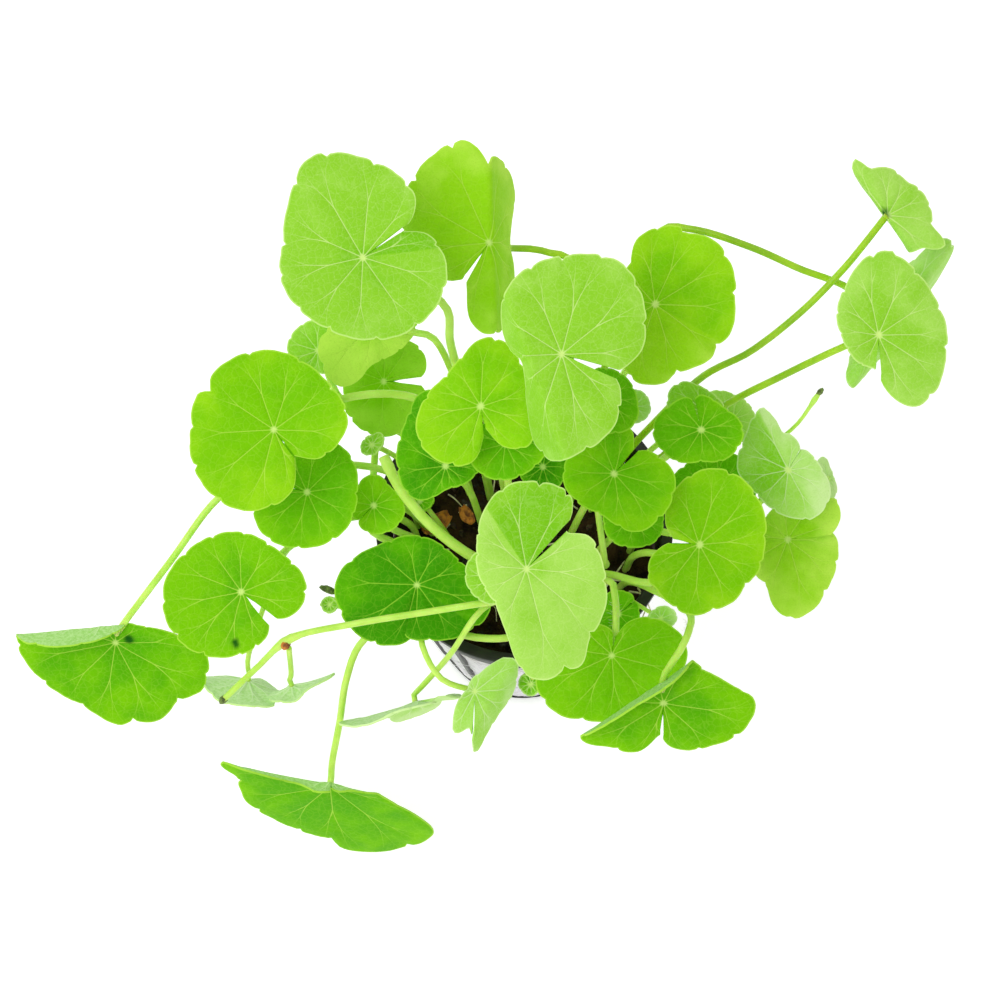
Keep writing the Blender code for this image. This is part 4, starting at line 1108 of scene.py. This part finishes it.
# Its wedges darken the left of the blade step by step, so that its pale right stands as a painted sheen.
leaf("leaf_22_right_crumpled", (41.1, 0.2, 70), (26, 250),
     ((0, 5.4), (39, 4.3), (62, 4.3), (90, 5.8, 5), (100, 6.4, 5), (107, 9.4, 8), (113, 10.8, 8),
      (140, 8.7), (181, 7.9), (203, 6.7), (230, 6.3), (277, 7.6), (295, 8.5), (326, 7.8)), 60,
     [(36, -2.8, 61), (29, -3.4, 53.5), *over_rim(353)], inside_rim(353), PALE, gap=2,
     tone=0.25, wedges=((115, 225, -0.22), (115, 265, -0.2), (115, 305, -0.2)))
leaf("leaf_23_right_notched", (26.9, 2.8, 80), (18, 285), (6.5, 5, 5.5, 6, 7.5, 6.5, 5, 6), 105,
     [(19, 2.5, 62)], (12.5, 1.8), DARK, gap=8)
leaf("leaf_24_right_back", (33.7, 13.3, 60), (18, 270), (3.6, 3.5, 4, 5.8, 4.5, 4, 4, 4), 250,
     over_rim(25), inside_rim(25), LIGHT, tone=0.5)
leaf("leaf_25_right_dark", (30.2, -0.5, 64), (20, 270), (6.5, 6.4, 5.9, 6, 7.4, 6, 5, 6), 285,
     [(24, 0.3, 54), (17.5, 0, 48.5)], (14.2, 0), DARK)

# %% [markdown]
# ## Leaves in the shade
# Under the tall ones stand leaves that get less light. Most of them take the dark skin, which is partly
# painted shade, and only parts of them can be seen between the others. They are modelled whole all the
# same, because other views show them.

# %% Behind and under the tall left leaf
leaf("leaf_26_left_notched", (-22.8, 19, 62), (20, 270), (7, 8, 6.5, 7.5, 6.5, 8, 9, 8), 0,
     [(-23.9, 12, 59), (-24.4, 6.5, 56), (-25, -2.5, 52.5), (-21.7, -4.4, 50.8), (-18.6, -5.2, 47)],
     inside_rim(197), DARK, gap=12, tone=0.75)
# Its tone of 1.1 is painted light: it lightens the blade where it lies in the shade of the tall left leaf.
leaf("leaf_27_left_folded", (-24.1, 23.2, 74), (21, 280),
     ((0, 7, 5), (45, 7, 5), (90, 7, 5), (135, 7, 5), (180, 7, 8), (197, 9, 8), (211, 10, 8),
      (240, 11), (256, 9, 4), (266, 6.5, 6), (293, 5.5, 6), (329, 6, 5)), 60,
     [(-17.5, 21.4, 75.5), (-13.9, 20.1, 74.5), (-10.5, 17, 62)], (-6.5, 12.5), GREEN, tone=1.1)
leaf("leaf_28_left_back_small", (-33.3, 22.6, 66), (25, 250), (5, 5, 5, 5, 5, 3.5, 3.5, 5), 320,
     [(-29.5, 17.5, 57), *over_rim(144)], inside_rim(144), LIGHT)
leaf("leaf_29_under_heart", (-12.4, -2, 77), (20, 270),
     ((0, 5.5), (45, 8), (90, 11.5), (108, 12), (135, 9), (180, 7.5), (225, 7), (270, 3.7), (315, 4)), 20,
     [(-9, 1, 60)], (-6.5, 1.2), DARK, tone=-0.35)
leaf("leaf_30_under_top_centre", (-3.2, -1.9, 85.5), (20, 270), (6.5, 6, 5, 4.5, 5.8, 5.9, 5.5, 5.5), 100,
     [(-2.6, -2.4, 65)], (-2.4, -1.5), DARK, tone=0.1)
leaf("leaf_31_inner_small", (2.8, 2.4, 66), (16, 300), (4,) * 8, 60,
     [(2.8, 2, 52)], (2.8, 1.5), DARK, tone=-0.35)
leaf("leaf_32_beside_top_centre", (12, 4.7, 88), (20, 265), (4.7, 4.3, 4.5, 5, 5, 5, 5.5, 6), 120,
     [(9.5, 5.5, 68)], (7, 4), DARK)
leaf("leaf_33_inner_pale", (16.6, 7.6, 78), (22, 250), (2.7, 2.7, 2.6, 2.5, 2.5, 2.6, 2.7, 2.8), 200,
     [(14, 7, 60)], (11, 5), PALE, thick=0.5)
leaf("leaf_34_low_centre", (16.8, -6.7, 68), (20, 270), (4.8, 4.8, 5, 5, 4.7, 5.2, 5, 5.3), 60,
     [(13.5, -5.5, 54)], (10, -4.3), DARK)
leaf("leaf_35_yellow_green", (-5, -17.2, 68), (24, 240), (4, 4, 4.5, 5, 4.5, 4, 4, 4), 70,
     [(-4.8, -14.5, 55)], (-4.8, -9.5), LIGHT, thick=0.55)

# %% [markdown]
# ## Young growth
# The last group is young or small: half unrolled blades, leaves that are seen on edge, and sprouts at the
# nodes. Many take the pale skin, and their stalks are thinner.

# %% Young and narrow leaves in front and at the stems
leaf("leaf_36_young_folded", (-8, -29.7, 50), (24, 272),
     ((18, 7.6), (44, 8.1), (60, 5.1), (75, 3), (135, 1.4), (180, 1.6), (208, 3.1), (226, 4.7),
      (244, 7.4), (262, 6.4), (274, 11.2), (289, 8.3), (317, 6.5), (343, 7)), 268,
     [(-13.2, -28.6, 53), (-16.2, -24, 55), (-16.3, -18.8, 53), (-13.3, -15.4, 48)], (-11.6, -13.9),
     PALE, gap=3, folds=((237, -50, 2.8),), thick=0.55)
leaf("leaf_37_narrow", (-17.7, -28.8, 40.5), (93, 285),
     ((0, 7.5, 5), (45, 8, 15), (90, 8, 19), (135, 8.5, 17), (168, 11, 8), (186, 12.8), (200, 9.5),
      (225, 7), (250, 9), (270, 8), (300, 6.5), (330, 6)), 60,
     [(-16.4, -27, 45), (-11.8, -24.3, 53), (-8.2, -21, 60), (-5.5, -18.5, 60.5),
      (-3.8, -15.3, 52)], (-3.6, -12.3), PALE, thick=0.55, tone=0.35)
leaf("leaf_38_runner_left", (-45.7, -23, 34), (141, 253),
     ((0, 6, 10), (35, 6), (50, 7.5), (75, 7.5), (102, 7), (131, 7.5), (160, 8), (185, 7.5, 10),
      (225, 6, 25), (270, 5, 30), (315, 5, 25)), 240,
     [(-45.2, -20.4, 40), (-42.6, -14.6, 46), (-39.8, -7.4, 49.5), (-34, -1, 51), (-29, 2.2, 51),
     *over_rim(173, 50.4)], inside_rim(173), PALE, thick=0.5)
leaf("leaf_39_runner_right", (-37.9, -25.2, 38), (135, 300),
     ((0, 7.5), (30, 5), (60, 4), (90, 4), (140, 4.5), (180, 4), (225, 3, 20), (270, 3, 30),
      (330, 4, 20)), 250,
     [(-37.8, -24.6, 44)], (-37.4, -24.1, 55), PALE, thick=0.5)
leaf("leaf_40_rim_sprout", (-31.4, -15.6, 51.6), (20, 260), (1.4,) * 8, 200,
     [(-29, -15.6, 50.6), *over_rim(213)], inside_rim(213), LIGHT, pitch=12, thick=0.45)
leaf("leaf_41_right_young", (48.6, 2.8, 60), (30, 290),
     ((20, 0.9), (84, 1.9), (97, 3.4), (116, 3.6), (160, 1.8), (250, 2), (278, 3.3), (300, 2.7),
      (330, 1.6)), 200,
     [(38, 4.6, 55), *over_rim(8)], inside_rim(8), PALE, thick=0.5, tone=0.5)
leaf("leaf_42_node_young", (-24.5, 7, 64), (25, 230), (2, 2.5, 1.6, 1.6, 1.8, 2, 1.6, 1.6), 140,
     [(-20, 8.8, 53)], (-14.8, 8.4), LIGHT, thick=0.5)
leaf("leaf_43_inner_left", (-17, 1.4, 54), (20, 200), (2.5, 2, 1.6, 1.6, 1.7, 1.8, 2, 2.2), 110,
     [(-14, 0.2, 47)], (-11.8, -0.6), DARK, thick=0.5)
leaf("leaf_44_low_right", (21.8, -18, 51.6), (22, 280), (2.6, 2.4, 2, 2, 2.2, 2, 1.6, 2), 120,
     [(19.7, -16.2, 50.4), (15.8, -12.9, 48)], (14.3, -11.6), PALE, thick=0.4)
leaf("leaf_45_inner_front", (15, -17.3, 52), (20, 290), (3.4, 3.8, 3.8, 3.8, 3.5, 4, 4.2, 3.8), 40,
     [(13, -14, 47)], (11, -12.2), DARK, thick=0.5)
leaf("leaf_46_front_rim", (0.9, -27.2, 46), (30, 265), (1.7, 2, 2.3, 2, 2, 1.8, 2, 1.8), 110,
     over_rim(274), (2.4, -15.4), LIGHT, thick=0.45, tone=-0.6)
leaf("leaf_47_right_notched_back", (27.7, 8.8, 74), (20, 270),
     ((0, 3.5), (40, 3), (84, 3.3), (111, 4.5), (128, 5.5), (150, 6), (210, 5), (270, 4)), 300,
     [(20, 8.3, 58)], (12.8, 7.4), LIGHT, thick=0.55)

# %% [markdown]
# ## Creeping stems
# The runners are a little thicker than the stalks. They swell at their nodes, where leaves and roots
# start, and the long one at the left ends in a cut, browned tip.

# %% Grow the creeping stems
def creeping(name, points, radii, swell_at=()):
    """A runner in place of the solid of this name."""
    hand_over(rod(name + "_grown", points, radii, STALK, swell_at=swell_at), "stem", name)


creeping("stem_runner", [(0.2, -12.8, ROOTED_Z), (-0.5, -16.3, 54), (-3.4, -19.4, 64.2), (-16.3, -21, 63),
                         (-27.3, -22.2, 61), (-36.9, -23.1, 57), (-42.9, -26.2, 51), (-48.5, -29.9, 46)],
         (0.58, 0.5), ((0.79, 0.3), (0.3, 0.1)))
creeping("stem_thick", [(-22.4, 3.8, 67), (-19.7, -0.9, 64.5), (-14.9, -6, 62), (-8.7, -9.2, 57),
                        (-3, -9.2, 50), (-1, -7.6, ROOTED_Z)], (0.85, 0.85), ((0.03, 0.12),))
creeping("stem_front_rim", [(-9.8, -15.4, ROOTED_Z), (-12.8, -17.4, 51.5), (-9.8, -21, 52.5),
                            (-3.2, -21.6, 52.5), (-1, -18.5, 48), (-1.4, -15.3, ROOTED_Z)], (0.6, 0.6))
creeping("stem_inner", [(12.5, -3.4, ROOTED_Z), (12.9, -8.2, 51), (11.5, -2.8, 61)],
         (0.6, 0.5), ((0.45, 0.5),))
creeping("stem_bud", [(*inside_rim(16), ROOTED_Z), *over_rim(16)[::-1], (35, 6.9, 57.5), (42, 7.7, 68.5),
                      (46, 11.6, 74)], (0.4, 0.3), ((0.97, 0.2),))

# %% [markdown]
# ## Small things
# Pale roots cross the dark top of the wool, and crumbs of old peat and two curled scraps of a dead leaf
# lie on it. A root is a thin rod, a crumb is a sphere made rough, and a scrap is a grid that is bent.

# %% Roots, crumbs and wilted bits
ROOTS = 26
ROOTS_WITHIN = 18
FRONT_ROOTS = (((17.2, -10.6, 44), (19.2, -12.4, 47.2), (20.6, -14.6, 45.5)),
               ((17.8, -15.4, 45), (19.4, -13, 47.6), (20.8, -11, 45)),
               ((18.6, -10, 44), (19.8, -13.6, 46.6), (19, -16, 45)),
               ((12, -7, 43), (14.5, -8.6, 44.2), (17, -8.2, 42)),
               ((13.5, -9, 42), (15.6, -6.6, 44), (16.6, -4.2, 41)))
CRUMBS = 150
CRUMBS_WITHIN = 19.0

roots = []
for _ in range(ROOTS):
    angle = chance.uniform(0, 2 * math.pi)
    far = chance.uniform(3, 15)
    start = Vector((far * math.cos(angle), far * math.sin(angle), WOOL_TOP + 0.2))
    end = start + Vector((chance.uniform(-5, 5), chance.uniform(-5, 5), 0.0))
    bow = Vector((chance.uniform(-1.5, 1.5), chance.uniform(-1.5, 1.5), chance.uniform(0.3, 2)))
    middle = (start + end) / 2 + bow
    if end.xy.length < ROOTS_WITHIN:
        roots.append(rod("root", [start, middle, end], (0.16, 0.08), ROOT, 7))
for points in FRONT_ROOTS:
    roots.append(rod("root", points, (0.18, 0.1), ROOT, 9))
only(roots[0])
for root in roots[1:]:
    root.select_set(True)
bpy.ops.object.join()
roots[0].name = "fine_roots"
hand_over(roots[0], "stem")


def crumb():
    """A rough little lump, the source of all crumbs."""
    nothing()
    bpy.ops.mesh.primitive_ico_sphere_add(subdivisions=2, radius=MM)
    piece = bpy.context.object
    for vertex in piece.data.vertices:
        vertex.co *= 1 + 0.5 * swell(vertex.co / MM, 0.8, 3.0)
    return piece


lumps = []
for _ in range(CRUMBS):
    angle = chance.uniform(0, 2 * math.pi)
    far = CRUMBS_WITHIN * math.sqrt(chance.random())
    size = chance.uniform(0.25, 0.9)
    place = (far * math.cos(angle), far * math.sin(angle), WOOL_TOP + 0.1)
    along = (chance.uniform(-1, 1), chance.uniform(-1, 1), 1)
    lumps.append(frame_at(place, along, (size, size * 0.8, size * 0.6)))
hand_over(scattered("peat_crumbs", crumb(), lumps, CRUMB), "rock_wool")


def wilted_bit(name, place, size, turn):
    """A curled scrap of a dead leaf: a grid, bent and crumpled, with a thickness."""
    nothing()
    bpy.ops.mesh.primitive_grid_add(x_subdivisions=12, y_subdivisions=8, size=1.0)
    piece = bpy.context.object
    piece.name = name
    for vertex in piece.data.vertices:
        x, y = vertex.co.x, vertex.co.y
        narrow = 1 - 1.6 * abs(x) ** 1.5
        curl = 1.4 * (x * x + y * y) + 0.35 * swell((x, y, 0), 0.25, 6.0)
        flat = Vector((x * size, y * size * 0.6 * narrow, curl * size * 0.4))
        vertex.co = (Vector(place) + Matrix.Rotation(math.radians(turn), 3, "Z") @ flat) * MM
    sheet = piece.modifiers.new("scrap", "SOLIDIFY")
    sheet.thickness = 0.18 * MM
    apply_modifiers(piece)
    bpy.ops.object.shade_smooth()
    piece.data.materials.append(WILTED)
    hand_over(piece, "leaf_pale")


wilted_bit("wilted_scrap_large", (-14.5, 1.6, 42.6), 5.2, 35)
wilted_bit("wilted_scrap_small", (-9.5, 3.4, 42.0), 3.4, 120)

# %% [markdown]
# ## Hairs and knobs
# Two stalks carry sparse white hairs where they cross the pot. One bowed strand is copied along the stretch
# between two points of these stalks, each copy pointing away from the stalk.

# %% Hairs on two petioles
HAIRY = (((14.3, -20.6, 54.5), (14.2, -17.4, 58.1), 24), ((24.9, -26, 67.4), (25.3, -22.2, 65.4), 22))
hairs = []
for first, second, count in HAIRY:
    low, high = Vector(first), Vector(second)
    along = (high - low).normalized()
    for _ in range(count):
        loose = Vector((chance.uniform(-1, 1), chance.uniform(-1, 1), chance.uniform(-1, 1)))
        out = (loose - loose.dot(along) * along).normalized()
        foot = low.lerp(high, chance.random()) + 0.45 * out
        size = (1, 1, chance.uniform(0.5, 1.2))
        hairs.append(frame_at(foot, out + 0.3 * along, size, chance.uniform(0, 6)))
hand_over(scattered("petiole_hairs", strand(0.035, 0.9, 0.12), hairs, ROOT), "stem")

# %% [markdown]
# The last small pieces are knobs: the runner's cut end and its browned node, the bud on the thin stem at
# the right, and the bud at the rim. A sphere is drawn out along its stem and roughened a little.

# %% Browned node and cut tip of the runner, and the buds
def knob(name, place, along, size, long, skin, slot):
    """A small swollen tip: a sphere, drawn out along its stem and roughened."""
    nothing()
    bpy.ops.mesh.primitive_uv_sphere_add(segments=20, ring_count=12, radius=MM)
    piece = bpy.context.object
    piece.name = name
    turned = frame_at(place, along, (size, size, long))
    for vertex in piece.data.vertices:
        rough = 1 + 0.22 * swell(vertex.co / MM, 0.5, 11.0)
        vertex.co = turned @ (vertex.co * rough)
    piece.data.update()
    bpy.ops.object.shade_smooth()
    piece.data.materials.append(skin)
    hand_over(piece, slot)


knob("runner_cut_tip", (-48.4, -29.8, 46.1), (-0.62, -0.4, -0.5), 0.62, 0.9, CUT, "stem")
knob("runner_node_scar", (-37.9, -23.9, 56.2), (-0.3, -0.5, -0.4), 0.8, 0.9, WILTED, "stem")
knob("bud_tip", (46.1, 11.7, 74.2), (0.5, 0.4, 0.6), 0.42, 0.8, CUT, "stem")
knob("rim_bud_tip", (-31.6, -13.3, 52.4), (-0.9, 0.3, 0.2), 0.6, 1.4, CUT, "stem")
